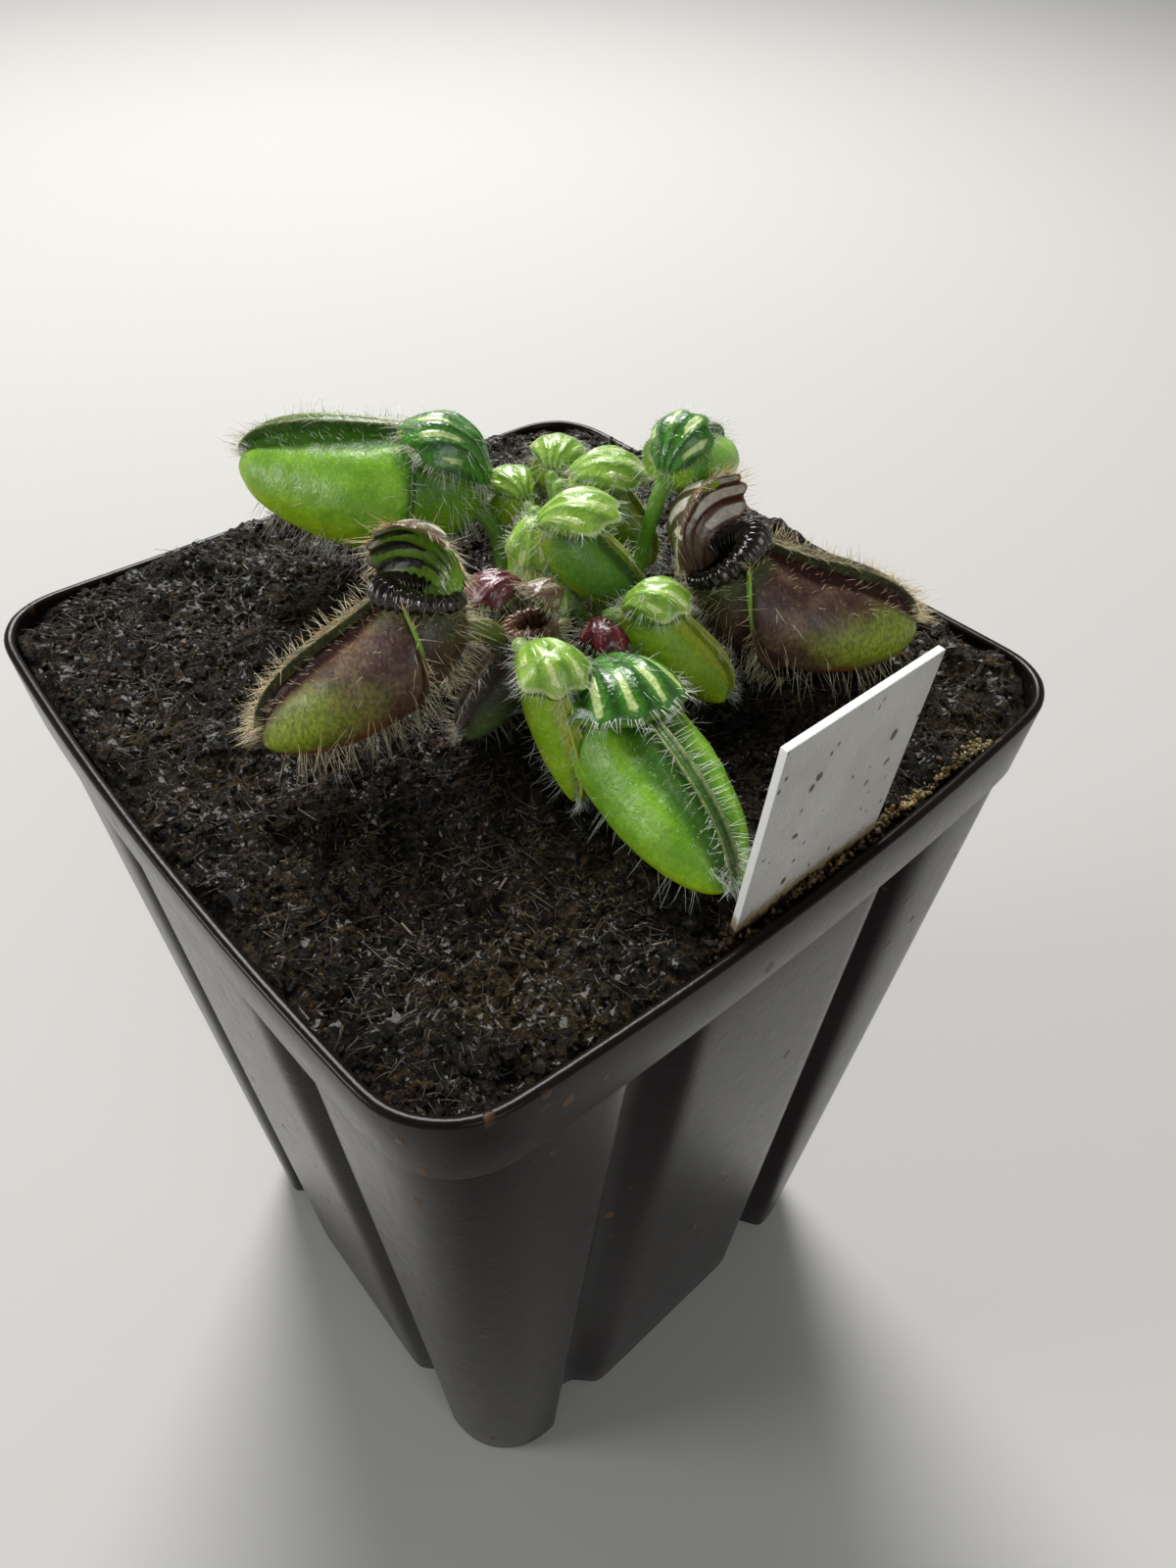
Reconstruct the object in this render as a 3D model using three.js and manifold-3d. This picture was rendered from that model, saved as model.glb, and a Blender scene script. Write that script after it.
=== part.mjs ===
// A potted pitcher plant: a rosette of moccasin-shaped pitchers in a tall square
// plastic pot full of peat, with a blank plant label.
// Millimetres, +Z up. The origin is the centre of the pot's flat bottom.
// +X is the side that the label stands at.

import * as THREE from 'three';
import Module from 'manifold-3d';
import { mergeVertices } from 'three/addons/utils/BufferGeometryUtils.js';

const wasm = await Module();
wasm.setup();

// ---------------------------------------------------------------- driving sizes

const POT_HEIGHT = 130;
const RIM_SIDE = 90;            // straight across the rim
const BASE_SIDE = 78;
const WALL = 1.2;
const RIM_CORNER = 9;           // corner radius at the rim
const BASE_CORNER = 11.5;
const BAND_HEIGHT = 10.5;       // plain band under the rim
const BAND_PROUD = 0.7;         // how far it stands out from the sides below
const SIDE_BOW = 1.8;           // how far a side swells in its middle
const RIM_SAG = 1.2;            // how far the rim dips in the middle of a side
const FOOT_ROUND = 1.4;         // the bottom edge is eased by this much
const CHANNEL_DEPTH = 4;
const CHANNEL_TOP = [14, 22];   // inner and outer edge, from the middle of a side
const CHANNEL_BASE = [16.5, 25.3];
const DRAIN_RADIUS = 4;
const DRAIN_FROM_CENTRE = 24;
const DRAIN_TURN = 0.11;        // keeps the holes' corners off the floor's own edges

const GAP = 0.35;               // clearance between neighbouring pieces
const SOIL_DROP = 1.2;          // the peat's middle lies this far below the rim
const SOIL_SLOPE = 2.2;         // it rises this much from the front corner to the back
const SOIL_ROUGH = 0.55;

const LABEL_WIDTH = 20.3;
const LABEL_LENGTH = 100;
const LABEL_THICK = 0.8;
const LABEL_ABOVE_RIM = 21.3;
const LABEL_POINT = 12;         // length of its pointed end
const LABEL_PLACE = new THREE.Vector2(43.9, -0.4);
const LABEL_LEAN = THREE.MathUtils.degToRad(3.5);

const CROWN = new THREE.Vector2(3.5, 5.5);  // where the rosette grows from
const RHIZOME_RADIUS = 2.6;
const STALK_DEPTH = 7;          // how deep the leaf stalks stand in the peat

// Proportions of every pitcher, as shares of its length from lid hinge to toe.
const TOE_REACH = 0.965;
const ROOF = 0.14;              // how much the flanks lean in towards the front ridge
const RIM_TUBE = 0.045;
const LIP = 0.35;               // how much thicker the collar is in front
const LID_LENGTH = 0.47;
const LID_HALF = 0.225;
const LID_DOME = 0.16;
const SHUT_DOME = 0.13;
const OPEN = 20;                // a lid turned further than this shows the mouth

// The kinds of pitcher, by age, in the same shares. gape: across the mouth, hinge to
// front. neck: half its width. swell: how much further the flanks stand out. depth of
// the belly. drop: how far the toe lies below the hinge. hood: size of the lid.
const KINDS = {
  closed: { gape: 0.34, neck: 0.155, swell: 0.115, depth: 0.9, drop: 0.27, hood: 1, strap: 1 },
  open: { gape: 0.29, neck: 0.145, swell: 0.125, depth: 1, drop: 0.27, hood: 0.9, strap: 1.2 },
  young: { gape: 0.34, neck: 0.15, swell: 0.12, depth: 0.8, drop: 0.27, hood: 1.15, strap: 0.85 },
  bud: { gape: 0.36, neck: 0.19, swell: 0.08, depth: 0.95, drop: 0.27, hood: 1.3, strap: 0.8 },
};

// ---------------------------------------------------------------- the leaves
// hinge: the lid hinge, x and y from the pot's axis and z above the rim.
// azimuth: the way the toe points. pitch: toe up. Both in degrees.
// mouth: tilt of the mouth. arch lifts the front ridge. plump widens the flanks.
// bank: how far the whole pitcher is rolled to its right. lid: how far it stands open.
// roll turns it about its own length, and shift sets it forward.
// stalk: [distance from the crown, bearing, radius].

const GREEN = 0x3f8f22;
const LIME = 0x8fb52c;
const MAROON = 0x4a2a2c;
const DUSKY = 0x5a4a48;
const RED = 0x6e1f26;

const LEAVES = [
  { name: 'pitcher_green_back', kind: 'closed', hinge: [-12.7, 5.2, 13.9], azimuth: 216.6, pitch: 7,
    length: 30.5, mouth: 22, arch: 0.06, plump: 1, bank: 8, lid: 0, drop: 0.13, depth: 0.88,
    hood: 0.82,
    stalk: [7.5, 195, 1.1], colour: GREEN, big: true },
  { name: 'pitcher_dark_left', kind: 'open', hinge: [8.2, -13.6, 16.6], azimuth: 242, pitch: -17,
    length: 23.9, mouth: 27, arch: 0, plump: 1, bank: 20, lid: 26, roll: 52, depth: 0.86,
    hood: 0.84,
    stalk: [7.5, 285, 1.1], colour: MAROON, big: true },
  { name: 'pitcher_dark_right', kind: 'open', hinge: [13.8, 13.1, 10.9], azimuth: 55, pitch: 2,
    length: 26.5, mouth: 32, arch: -0.02, plump: 1, bank: -14, lid: 36, roll: -46,
    stalk: [7.5, 35, 1.1], colour: MAROON, big: true },
  { name: 'pitcher_green_front', kind: 'closed', hinge: [16.5, -3.8, 7.2], azimuth: -11.5, pitch: 2,
    length: 26.5, mouth: 14, arch: 0.03, plump: 0.94, lid: 0, strap: 0.6, depth: 0.78,
    hood: 1.02,
    stalk: [7.5, 330, 1.1], colour: GREEN, big: true },
  { name: 'bud_tall', kind: 'bud', hinge: [8.8, 12.7, 21.8], azimuth: 105, pitch: 4, length: 13,
    mouth: 34, arch: 0.08, plump: 1.35, lid: 0, hood: 1.15, stalk: [4.7, 62, 0.85], colour: GREEN },
  { name: 'bud_back', kind: 'bud', hinge: [-7.2, 10.9, 16.4], azimuth: 131, pitch: -25, length: 10.5,
    mouth: 30, arch: 0.05, plump: 1.15, lid: 0, stalk: [4.7, 125, 0.75], colour: LIME },
  { name: 'bud_pale', kind: 'bud', hinge: [-8.1, 7.4, 13.4], azimuth: 168, pitch: -25, length: 10.5,
    mouth: 30, arch: 0.05, plump: 1.05, lid: 0, stalk: [4.7, 158, 0.75], colour: LIME },
  { name: 'pitcher_young_back', kind: 'young', hinge: [-4.1, 11.6, 16.4], azimuth: 63, pitch: -40,
    length: 16.5, mouth: 24, arch: 0.04, plump: 0.9, lid: 12, stalk: [4.7, 92, 0.8], colour: LIME },
  { name: 'pitcher_young_middle', kind: 'young', hinge: [0.9, 2.6, 16.1], azimuth: 50, pitch: -31,
    length: 16.3, mouth: 24, arch: 0.04, plump: 0.82, lid: 14, stalk: [4.7, 20, 0.8], colour: GREEN },
  { name: 'pitcher_young_upright', kind: 'young', hinge: [-1.2, 3.2, 15], azimuth: -42, pitch: -68,
    length: 13.5, mouth: 24, arch: 0.04, plump: 0.82, lid: 0, hood: 0.95,
    stalk: [4.7, 190, 0.75], colour: LIME },
  { name: 'pitcher_young_right', kind: 'young', hinge: [13.4, 3.6, 11.6], azimuth: 40, pitch: -28,
    length: 16, mouth: 24, arch: 0.04, plump: 0.78, lid: 10, hood: 0.95,
    stalk: [4.7, 350, 0.8], colour: LIME },
  { name: 'pitcher_young_front', kind: 'young', hinge: [14.7, -10.3, 13.2], azimuth: -6, pitch: -43,
    length: 16.2, mouth: 24, arch: 0.04, plump: 0.55, lid: 12, hood: 1, depth: 0.66,
    stalk: [4.7, 306, 0.8], colour: LIME },
  { name: 'pitcher_red', kind: 'bud', hinge: [10.4, 3, 8.6], azimuth: -31, pitch: -31, length: 10,
    mouth: 24, arch: 0.04, plump: 1, lid: 0, stalk: [4.7, 328, 0.75], colour: RED },
  { name: 'pitcher_dusky_left', kind: 'young', hinge: [4.2, -3.4, 12.3], azimuth: 255, pitch: -40,
    length: 13.5, mouth: 24, arch: 0.04, plump: 0.8, lid: 8, hood: 0.95,
    stalk: [4.7, 235, 0.75], colour: DUSKY },
  { name: 'pitcher_dusky_front', kind: 'young', hinge: [10.4, -4, 11.6], azimuth: 264, pitch: -29,
    length: 15.5, mouth: 24, arch: 0.04, plump: 0.8, lid: 62, hood: 0.62,
    stalk: [4.7, 268, 0.75], colour: DUSKY },
  { name: 'pitcher_sprout', kind: 'bud', hinge: [3.6, 3.2, 8.4], azimuth: -72, pitch: -40, length: 7,
    mouth: 24, arch: 0.04, plump: 0.95, lid: 6, stalk: [3.9, 212, 0.6], colour: LIME },
].map((leaf) => ({ bank: 0, roll: 0, shift: 0, ...KINDS[leaf.kind], ...leaf }));

// ---------------------------------------------------------------- mesh helpers

const WELD = 1e-4;              // points closer than this are one point

// A closed surface: a sphere's grid of points, each put where the formula says.
// place(column, row) gets whole numbers; the first and last rows are single points.
function closedSurface(columns, rows, place) {
  const geometry = new THREE.SphereGeometry(1, columns, rows);
  const points = geometry.attributes.position;
  for (let i = 0; i < points.count; i++) {
    const row = Math.floor(i / (columns + 1));
    const atPole = row === 0 || row === rows;
    const column = atPole ? 0 : i % (columns + 1) % columns;
    const point = place(column, row);
    points.setXYZ(i, point.x, point.y, point.z);
  }
  return geometry;
}

// The geometry with shared vertices merged and the triangles that vanish left out.
function welded(geometry) {
  const bare = geometry.clone();
  bare.deleteAttribute('normal');
  bare.deleteAttribute('uv');
  const merged = mergeVertices(bare, WELD);
  const index = merged.index.array;
  const kept = [];
  for (let i = 0; i < index.length; i += 3) {
    const [a, b, c] = index.slice(i, i + 3);
    if (a !== b && b !== c && c !== a) kept.push(a, b, c);
  }
  merged.setIndex(kept);
  return merged;
}

function signedVolume(positions, index) {
  const [a, b, c] = [new THREE.Vector3(), new THREE.Vector3(), new THREE.Vector3()];
  let sum = 0;
  for (let i = 0; i < index.length; i += 3) {
    a.fromArray(positions, 3 * index[i]);
    b.fromArray(positions, 3 * index[i + 1]);
    c.fromArray(positions, 3 * index[i + 2]);
    sum += a.dot(b.cross(c));
  }
  return sum / 6;
}

// A three.js geometry as a solid, with its faces turned outwards.
function solid(geometry) {
  const mesh = welded(geometry);
  const vertProperties = Float32Array.from(mesh.attributes.position.array);
  const triVerts = Uint32Array.from(mesh.index.array);
  if (signedVolume(vertProperties, triVerts) < 0) triVerts.reverse();
  return new wasm.Manifold(new wasm.Mesh({ numProp: 3, vertProperties, triVerts }));
}

function union(solids) {
  return solids.reduce((whole, piece) => whole.add(piece));
}

function largestPiece(body) {
  const pieces = body.decompose();
  return pieces.reduce((best, piece) => (piece.volume() > best.volume() ? piece : best));
}

function geometryOf(body) {
  const mesh = body.getMesh();
  const raw = new THREE.BufferGeometry();
  raw.setAttribute('position', new THREE.BufferAttribute(mesh.vertProperties, 3));
  raw.setIndex(new THREE.BufferAttribute(mesh.triVerts, 1));
  const geometry = welded(raw);
  geometry.computeVertexNormals();
  return geometry;
}

function node(name, body, colour, roughness) {
  const material = new THREE.MeshStandardMaterial({ color: colour, roughness, metalness: 0 });
  const mesh = new THREE.Mesh(geometryOf(body), material);
  mesh.name = name;
  return mesh;
}

// ---------------------------------------------------------------- pot

const CORNER_STEPS = 4;

function lerpPair(low, high, share) {
  return [0, 1].map((i) => THREE.MathUtils.lerp(low[i], high[i], share));
}

// Half the pot's outline seen from above at height z, as one side's points, each
// [along the side, out from the axis]. inset moves it inwards; band leaves the
// channels out.
function sidePoints(z, inset, band) {
  const share = z / POT_HEIGHT;
  const half = THREE.MathUtils.lerp(BASE_SIDE, RIM_SIDE, share) / 2;
  const corner = THREE.MathUtils.lerp(BASE_CORNER, RIM_CORNER, share);
  const [inner, outer] = lerpPair(CHANNEL_BASE, CHANNEL_TOP, share);
  const bow = SIDE_BOW * share;
  const deep = band ? 0 : CHANNEL_DEPTH;
  const width = outer - inner;
  const flat = half - corner;
  const rightHalf = [
    [0, 0], [inner - inset * 0.5, 0], [inner + width * 0.35, 0.9 * deep],
    [outer - width * 0.22, deep], [outer + inset * 0.8, 0], [flat, 0],
  ];
  const leftHalf = rightHalf.slice(1).map(([along, sunk]) => [-along, sunk]).reverse();
  return [...leftHalf, ...rightHalf].map(([along, sunk]) => {
    const swell = bow * (1 - (along / half) ** 2);
    return [along, half - inset - sunk + swell];
  });
}

// The whole outline, anticlockwise from the +X side, with rounded corners.
function potOutline(z, inset, band) {
  const side = sidePoints(z, inset, band);
  const [along, out] = side[side.length - 1];
  const reach = out - along;
  const points = [];
  for (let quarter = 0; quarter < 4; quarter++) {
    const turn = quarter * Math.PI / 2;
    const ring = side.map(([a, o]) => new THREE.Vector2(o, a));
    for (let step = 1; step < CORNER_STEPS; step++) {
      const angle = step / CORNER_STEPS * Math.PI / 2;
      ring.push(new THREE.Vector2(
        along + reach * Math.cos(angle), along + reach * Math.sin(angle)));
    }
    ring.forEach((point) => points.push(point.rotateAround(new THREE.Vector2(), turn)));
  }
  return points;
}

// The rim dips in the middle of each side.
function rimDip(point) {
  const near = Math.min(Math.abs(point.x), Math.abs(point.y)) / (RIM_SIDE / 2);
  return RIM_SAG * (1 - Math.min(near, 1) ** 2);
}

function potLevels() {
  const bandFoot = POT_HEIGHT - BAND_HEIGHT;
  const outer = BAND_PROUD;
  const inner = BAND_PROUD + WALL;
  return [
    { z: 0, inset: outer + FOOT_ROUND },
    { z: FOOT_ROUND, inset: outer },
    { z: bandFoot / 2, inset: outer },
    { z: bandFoot, inset: outer },
    { z: bandFoot + 0.4, inset: 0, band: true },
    { z: POT_HEIGHT, inset: 0, band: true, top: true },
    { z: POT_HEIGHT, inset: WALL, band: true, top: true },
    { z: bandFoot + WALL + 0.4, inset: WALL, band: true },
    { z: bandFoot + WALL, inset: inner },
    { z: bandFoot / 2, inset: inner },
    { z: WALL, inset: inner + 0.6 },
  ];
}

function ringPoint(level, outline, column) {
  const flat = outline[column];
  const dip = level.top ? rimDip(flat) : 0;
  return new THREE.Vector3(flat.x, flat.y, level.z - dip);
}

function makePot() {
  const levels = potLevels();
  const outlines = levels.map((level) => potOutline(level.z, level.inset, level.band));
  const shell = solid(closedSurface(outlines[0].length, levels.length + 1, (column, row) => {
    if (row === 0) return new THREE.Vector3(0, 0, 0);
    if (row > levels.length) return new THREE.Vector3(0, 0, WALL);
    return ringPoint(levels[row - 1], outlines[row - 1], column);
  }));
  return drains().reduce((pot, drain) => pot.subtract(drain), shell);
}

function drains() {
  return [45, 135, 225, 315].map((bearing) => {
    const angle = THREE.MathUtils.degToRad(bearing);
    const drain = new THREE.CylinderGeometry(DRAIN_RADIUS, DRAIN_RADIUS, 4 * WALL, 14);
    drain.rotateX(Math.PI / 2);
    drain.rotateZ(DRAIN_TURN);
    drain.translate(DRAIN_FROM_CENTRE * Math.cos(angle), DRAIN_FROM_CENTRE * Math.sin(angle), 0);
    return solid(drain);
  });
}

// ---------------------------------------------------------------- peat

const SOIL_RINGS = [1, 0.96, 0.86, 0.74, 0.61, 0.47, 0.33, 0.17];

// Height of the peat's surface above the pot's bottom.
function soilHeight(x, y) {
  const back = (y - x) / RIM_SIDE;
  const lumps = Math.sin(x * 0.31 + 1.3) * Math.cos(y * 0.27)
    + 0.6 * Math.sin(x * 0.55 - y * 0.47 + 2.1)
    + 0.4 * Math.cos(x * 0.9 + y * 0.83);
  const edge = Math.max(Math.abs(x), Math.abs(y)) / (RIM_SIDE / 2);
  const bank = 1.5 * Math.max(0, back) * edge ** 6;
  return POT_HEIGHT - SOIL_DROP + SOIL_SLOPE * back + bank + SOIL_ROUGH * lumps;
}

function soilLevels() {
  const bandFoot = POT_HEIGHT - BAND_HEIGHT;
  const inset = BAND_PROUD + WALL + GAP;
  return [
    { z: WALL + GAP, inset: inset + 1 },
    { z: bandFoot / 2, inset },
    { z: bandFoot + WALL + 0.6, inset },
    { z: bandFoot + WALL + 1.3, inset: WALL + GAP, band: true },
  ];
}

function makeSoil() {
  const levels = soilLevels();
  const outlines = levels.map((level) => potOutline(level.z, level.inset, level.band));
  const edge = potOutline(POT_HEIGHT, WALL + GAP, true);
  const middle = new THREE.Vector3(0, 0, soilHeight(0, 0));
  const rows = levels.length + SOIL_RINGS.length + 1;
  return solid(closedSurface(edge.length, rows, (column, row) => {
    if (row === 0) return new THREE.Vector3(0, 0, WALL + GAP);
    if (row === rows) return middle;
    if (row <= levels.length) return ringPoint(levels[row - 1], outlines[row - 1], column);
    const ring = row - levels.length - 1;
    const flat = edge[column].clone().multiplyScalar(SOIL_RINGS[ring]);
    const drop = ring === 0 ? 1.3 : 0;
    return new THREE.Vector3(flat.x, flat.y, soilHeight(flat.x, flat.y) - drop);
  }));
}

// ---------------------------------------------------------------- label

function makeLabel(grow = 0) {
  const half = LABEL_WIDTH / 2 + grow;
  const thick = LABEL_THICK + 2 * grow;
  const top = LABEL_ABOVE_RIM;
  const foot = top - LABEL_LENGTH - grow;
  const outline = new THREE.Shape();
  outline.moveTo(-half, top);
  outline.lineTo(-half, foot + LABEL_POINT);
  outline.lineTo(-2, foot);
  outline.lineTo(2, foot);
  outline.lineTo(half, foot + LABEL_POINT);
  outline.lineTo(half, top);
  outline.closePath();
  const plate = new THREE.ExtrudeGeometry(outline, { depth: thick, bevelEnabled: false });
  plate.translate(0, 0, -thick / 2);
  plate.rotateX(Math.PI / 2);
  plate.rotateZ(Math.PI / 2);
  plate.rotateY(LABEL_LEAN);
  plate.translate(LABEL_PLACE.x, LABEL_PLACE.y, POT_HEIGHT);
  return solid(plate);
}

// ---------------------------------------------------------------- pitchers

const radians = THREE.MathUtils.degToRad;
const flatPoint = (x, z, length) => new THREE.Vector2(x * length, z * length);

// The two lines of a pitcher's side view, in the plane of its front ridge.
function profileOf(leaf) {
  const { length, arch, depth } = leaf;
  const tilt = radians(leaf.mouth);
  const gape = leaf.gape * length;
  const front = new THREE.Vector2(Math.cos(tilt), Math.sin(tilt)).multiplyScalar(gape);
  const toe = flatPoint(TOE_REACH, -leaf.drop, length);
  const ridge = new THREE.CubicBezierCurve(
    front, flatPoint(0.44, 0.02 + arch, length), flatPoint(0.92, 0.0 + arch, length), toe);
  const belly = new THREE.CubicBezierCurve(
    new THREE.Vector2(0, 0), flatPoint(-0.1, -0.42 * depth, length),
    flatPoint(0.9, -0.6 * depth, length), toe);
  return { ridge, belly, front, toe };
}

function halfWidth(leaf, t) {
  const swell = leaf.swell * Math.sin(Math.PI * t ** 0.8);
  return leaf.length * (leaf.neck + swell) * leaf.plump * Math.sqrt(1 - t ** 3.5);
}

// A point of the pitcher's skin. t runs from the mouth to the toe; angle is 90
// degrees on the front ridge and -90 on the belly. grow stands off the skin.
function skin(leaf, t, angle, grow = 0) {
  const ridge = leaf.profile.ridge.getPoint(t);
  const belly = leaf.profile.belly.getPoint(t);
  const middle = ridge.clone().add(belly).multiplyScalar(0.5);
  const up = ridge.clone().sub(belly);
  const half = up.length() / 2;
  up.normalize();
  const rise = Math.sin(angle) * (half + grow);
  const wide = Math.cos(angle) * (halfWidth(leaf, t) * (1 - ROOF * Math.max(Math.sin(angle), 0)) + grow);
  return new THREE.Vector3(middle.x + up.x * rise, wide, middle.y + up.y * rise);
}

function skinNormal(leaf, t, angle) {
  const step = 0.02;
  const here = skin(leaf, t, angle);
  const along = skin(leaf, Math.min(t + step, 0.99), angle).sub(skin(leaf, Math.max(t - step, 0), angle));
  const around = skin(leaf, t, angle + step).sub(skin(leaf, t, angle - step));
  const normal = along.cross(around).normalize();
  const middle = skin(leaf, t, 0).add(skin(leaf, t, Math.PI)).multiplyScalar(0.5);
  return normal.dot(here.sub(middle)) < 0 ? normal.negate() : normal;
}

const BIG = { around: 16, stations: [0, 0.07, 0.17, 0.3, 0.44, 0.58, 0.71, 0.83, 0.93] };
const SMALL = { around: 8, stations: [0, 0.16, 0.38, 0.62, 0.85] };
const CAVITY = [0.36, 0.18, 0];   // stations of the hollow under an open mouth
const SKIN_THICK = 0.9;

function makeBody(leaf, grow) {
  const grid = leaf.big ? BIG : SMALL;
  const hollow = leaf.big && leaf.lid >= OPEN && grow === 0 ? CAVITY : [];
  const rings = [
    ...hollow.map((t) => ({ t, stand: -SKIN_THICK })),
    ...grid.stations.map((t) => ({ t, stand: grow })),
  ];
  const { front, toe } = leaf.profile;
  const start = hollow.length
    ? skin(leaf, 0.48, 0).setY(0)
    : new THREE.Vector3(front.x / 2, 0, front.y / 2 + grow);
  const end = new THREE.Vector3(toe.x + grow, 0, toe.y);
  return solid(closedSurface(grid.around, rings.length + 1, (column, row) => {
    if (row === 0) return start;
    if (row > rings.length) return end;
    const { t, stand } = rings[row - 1];
    return skin(leaf, t, column / grid.around * 2 * Math.PI, stand);
  }));
}

// A narrow rib standing on the skin. path(share) gives [t, angle]; section is a
// list of [across, out] points. It is wider at its start by flare.
function makeRib(leaf, steps, path, section, flare = 0) {
  const spots = Array.from({ length: steps + 1 }, (_, i) => {
    const [t, angle] = path(i / steps);
    return { at: skin(leaf, t, angle), out: skinNormal(leaf, t, angle) };
  });
  const directions = spots.map((spot, i) => {
    const next = spots[Math.min(i + 1, steps)].at;
    const last = spots[Math.max(i - 1, 0)].at;
    return next.clone().sub(last).normalize();
  });
  return solid(closedSurface(section.length, steps + 2, (column, row) => {
    const i = THREE.MathUtils.clamp(row - 1, 0, steps);
    const { at, out } = spots[i];
    if (row === 0 || row === steps + 2) return at.clone().addScaledVector(out, -0.1);
    const side = directions[i].clone().cross(out).normalize();
    const taper = Math.sin(Math.PI * THREE.MathUtils.lerp(0.12, 0.88, i / steps)) ** 0.5;
    const [across, height] = section[column];
    const spread = taper * (1 + flare * (0.5 - i / steps));
    return at.clone().addScaledVector(side, across * spread)
      .addScaledVector(out, height > 0 ? height * taper : height);
  }));
}

const STRAP_FLARE = 0.9;

// The double ridge down the front: a keel that is broader at its top, with a groove.
function makeFrontRidge(leaf, grow) {
  const size = leaf.length / 28;
  const half = 1.25 * size * leaf.strap + grow;
  const rise = 1.2 * size + grow;
  const section = [
    [-half, rise], [-0.45 * half, -0.7], [0.45 * half, -0.7], [half, rise], [0, rise - 0.3 * size],
  ];
  const path = (share) => [0.03 + 0.93 * share, Math.PI / 2];
  return makeRib(leaf, leaf.big ? 8 : 4, path, section, leaf.lid >= OPEN ? STRAP_FLARE : 0);
}

// A wing on each flank, from the side of the mouth down to the belly.
function makeSideWing(leaf, side, grow) {
  const rise = 1.5 * leaf.length / 28 + grow;
  const half = 0.42 + grow;
  const section = [[-half, -0.6], [half, -0.6], [0.8 * half, rise], [-0.8 * half, rise]];
  const path = (share) => {
    const angle = radians(26 - 92 * share);
    return [0.03 + 0.42 * share, side > 0 ? angle : Math.PI - angle];
  };
  return makeRib(leaf, 6, path, section);
}

// The ribbed collar round the mouth, with a tooth under every rib.
const COLLAR_RIBS = 16;
const YOUNG_COLLAR_RIBS = 8;
const COLLAR_SIDES = 4;

function makeCollar(leaf, grow) {
  const ribs = leaf.big ? COLLAR_RIBS : YOUNG_COLLAR_RIBS;
  const steps = 2 * ribs;
  const tube = RIM_TUBE * leaf.length + grow;
  const middle = new THREE.Vector3(leaf.profile.front.x / 2, 0, leaf.profile.front.y / 2);
  const tilt = radians(leaf.mouth);
  const up = new THREE.Vector3(-Math.sin(tilt), 0, Math.cos(tilt));
  const ring = new THREE.TorusGeometry(1, 0.3, COLLAR_SIDES, steps);
  const points = ring.attributes.position;
  for (let i = 0; i < points.count; i++) {
    const column = i % (steps + 1) % steps;
    const side = Math.floor(i / (steps + 1)) % COLLAR_SIDES;
    const angle = column / steps * 2 * Math.PI;
    const centre = skin(leaf, 0, angle);
    const outward = centre.clone().sub(middle).normalize();
    const turn = side / COLLAR_SIDES * 2 * Math.PI;
    const onRib = column % 2 === 0;
    const reach = tube * (onRib ? 1.12 : 0.88) * (1 + LIP * Math.sin(angle));
    const tooth = onRib && Math.sin(turn) < -0.5 && Math.cos(turn) < 0 ? 1.5 : 1;
    const point = centre.addScaledVector(outward, reach * Math.cos(turn) * tooth)
      .addScaledVector(up, reach * Math.sin(turn) * tooth);
    points.setXYZ(i, point.x, point.y, point.z);
  }
  return solid(ring);
}

// The lid: a ribbed scallop dome on its hinge, turned open by leaf.lid degrees.
function makeLid(leaf, grow) {
  const around = leaf.big ? 24 : 12;
  const top = leaf.big ? 3 : 2;
  const under = leaf.big ? 2 : 1;
  const size = leaf.length;
  const broad = leaf.hood * size;
  const thick = 0.8 + 0.012 * size;
  const turn = radians(leaf.mouth + leaf.lid);
  const shut = leaf.lid < OPEN;
  const hinge = new THREE.Vector3(leaf.shift * size, 0, shut ? 0.01 * size : 0.045 * size);
  const roll = new THREE.Matrix4().makeRotationX(radians(leaf.roll));
  const swing = new THREE.Matrix4().makeRotationY(-turn).multiply(roll).setPosition(hinge);
  const rows = top + under + 1;
  const place = (column, row) => {
    const angle = column / around * 2 * Math.PI;
    const outer = row <= top;
    const share = outer ? row / top : (rows - row) / under;
    const scallop = 1 + (column % 2 ? 0.05 : -0.03) * share ** 2;
    const reach = share * scallop + (share > 0 ? grow / size : 0);
    const x = broad * LID_LENGTH * (0.44 + 0.5 * reach * Math.cos(angle));
    const y = broad * LID_HALF * reach * Math.sin(angle)
      * (1 + 0.12 * Math.cos(angle));
    const rib = share > 0 && share < 1 && column % 2 ? 0.016 * size : 0;
    const dome = size * (shut ? SHUT_DOME : LID_DOME) * (1 - share ** 2) + rib;
    const z = outer ? dome + grow : (shut ? 0 : dome) - thick - grow;
    return new THREE.Vector3(x, y, z).applyMatrix4(swing);
  };
  return solid(closedSurface(around, rows, place));
}

function localFrame(leaf) {
  const [x, y, z] = leaf.hinge;
  const turn = new THREE.Matrix4().makeRotationZ(radians(leaf.azimuth));
  const nod = new THREE.Matrix4().makeRotationY(-radians(leaf.pitch));
  const bank = new THREE.Matrix4().makeRotationX(radians(leaf.bank));
  return turn.multiply(nod).multiply(bank).setPosition(x, y, POT_HEIGHT + z);
}

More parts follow.
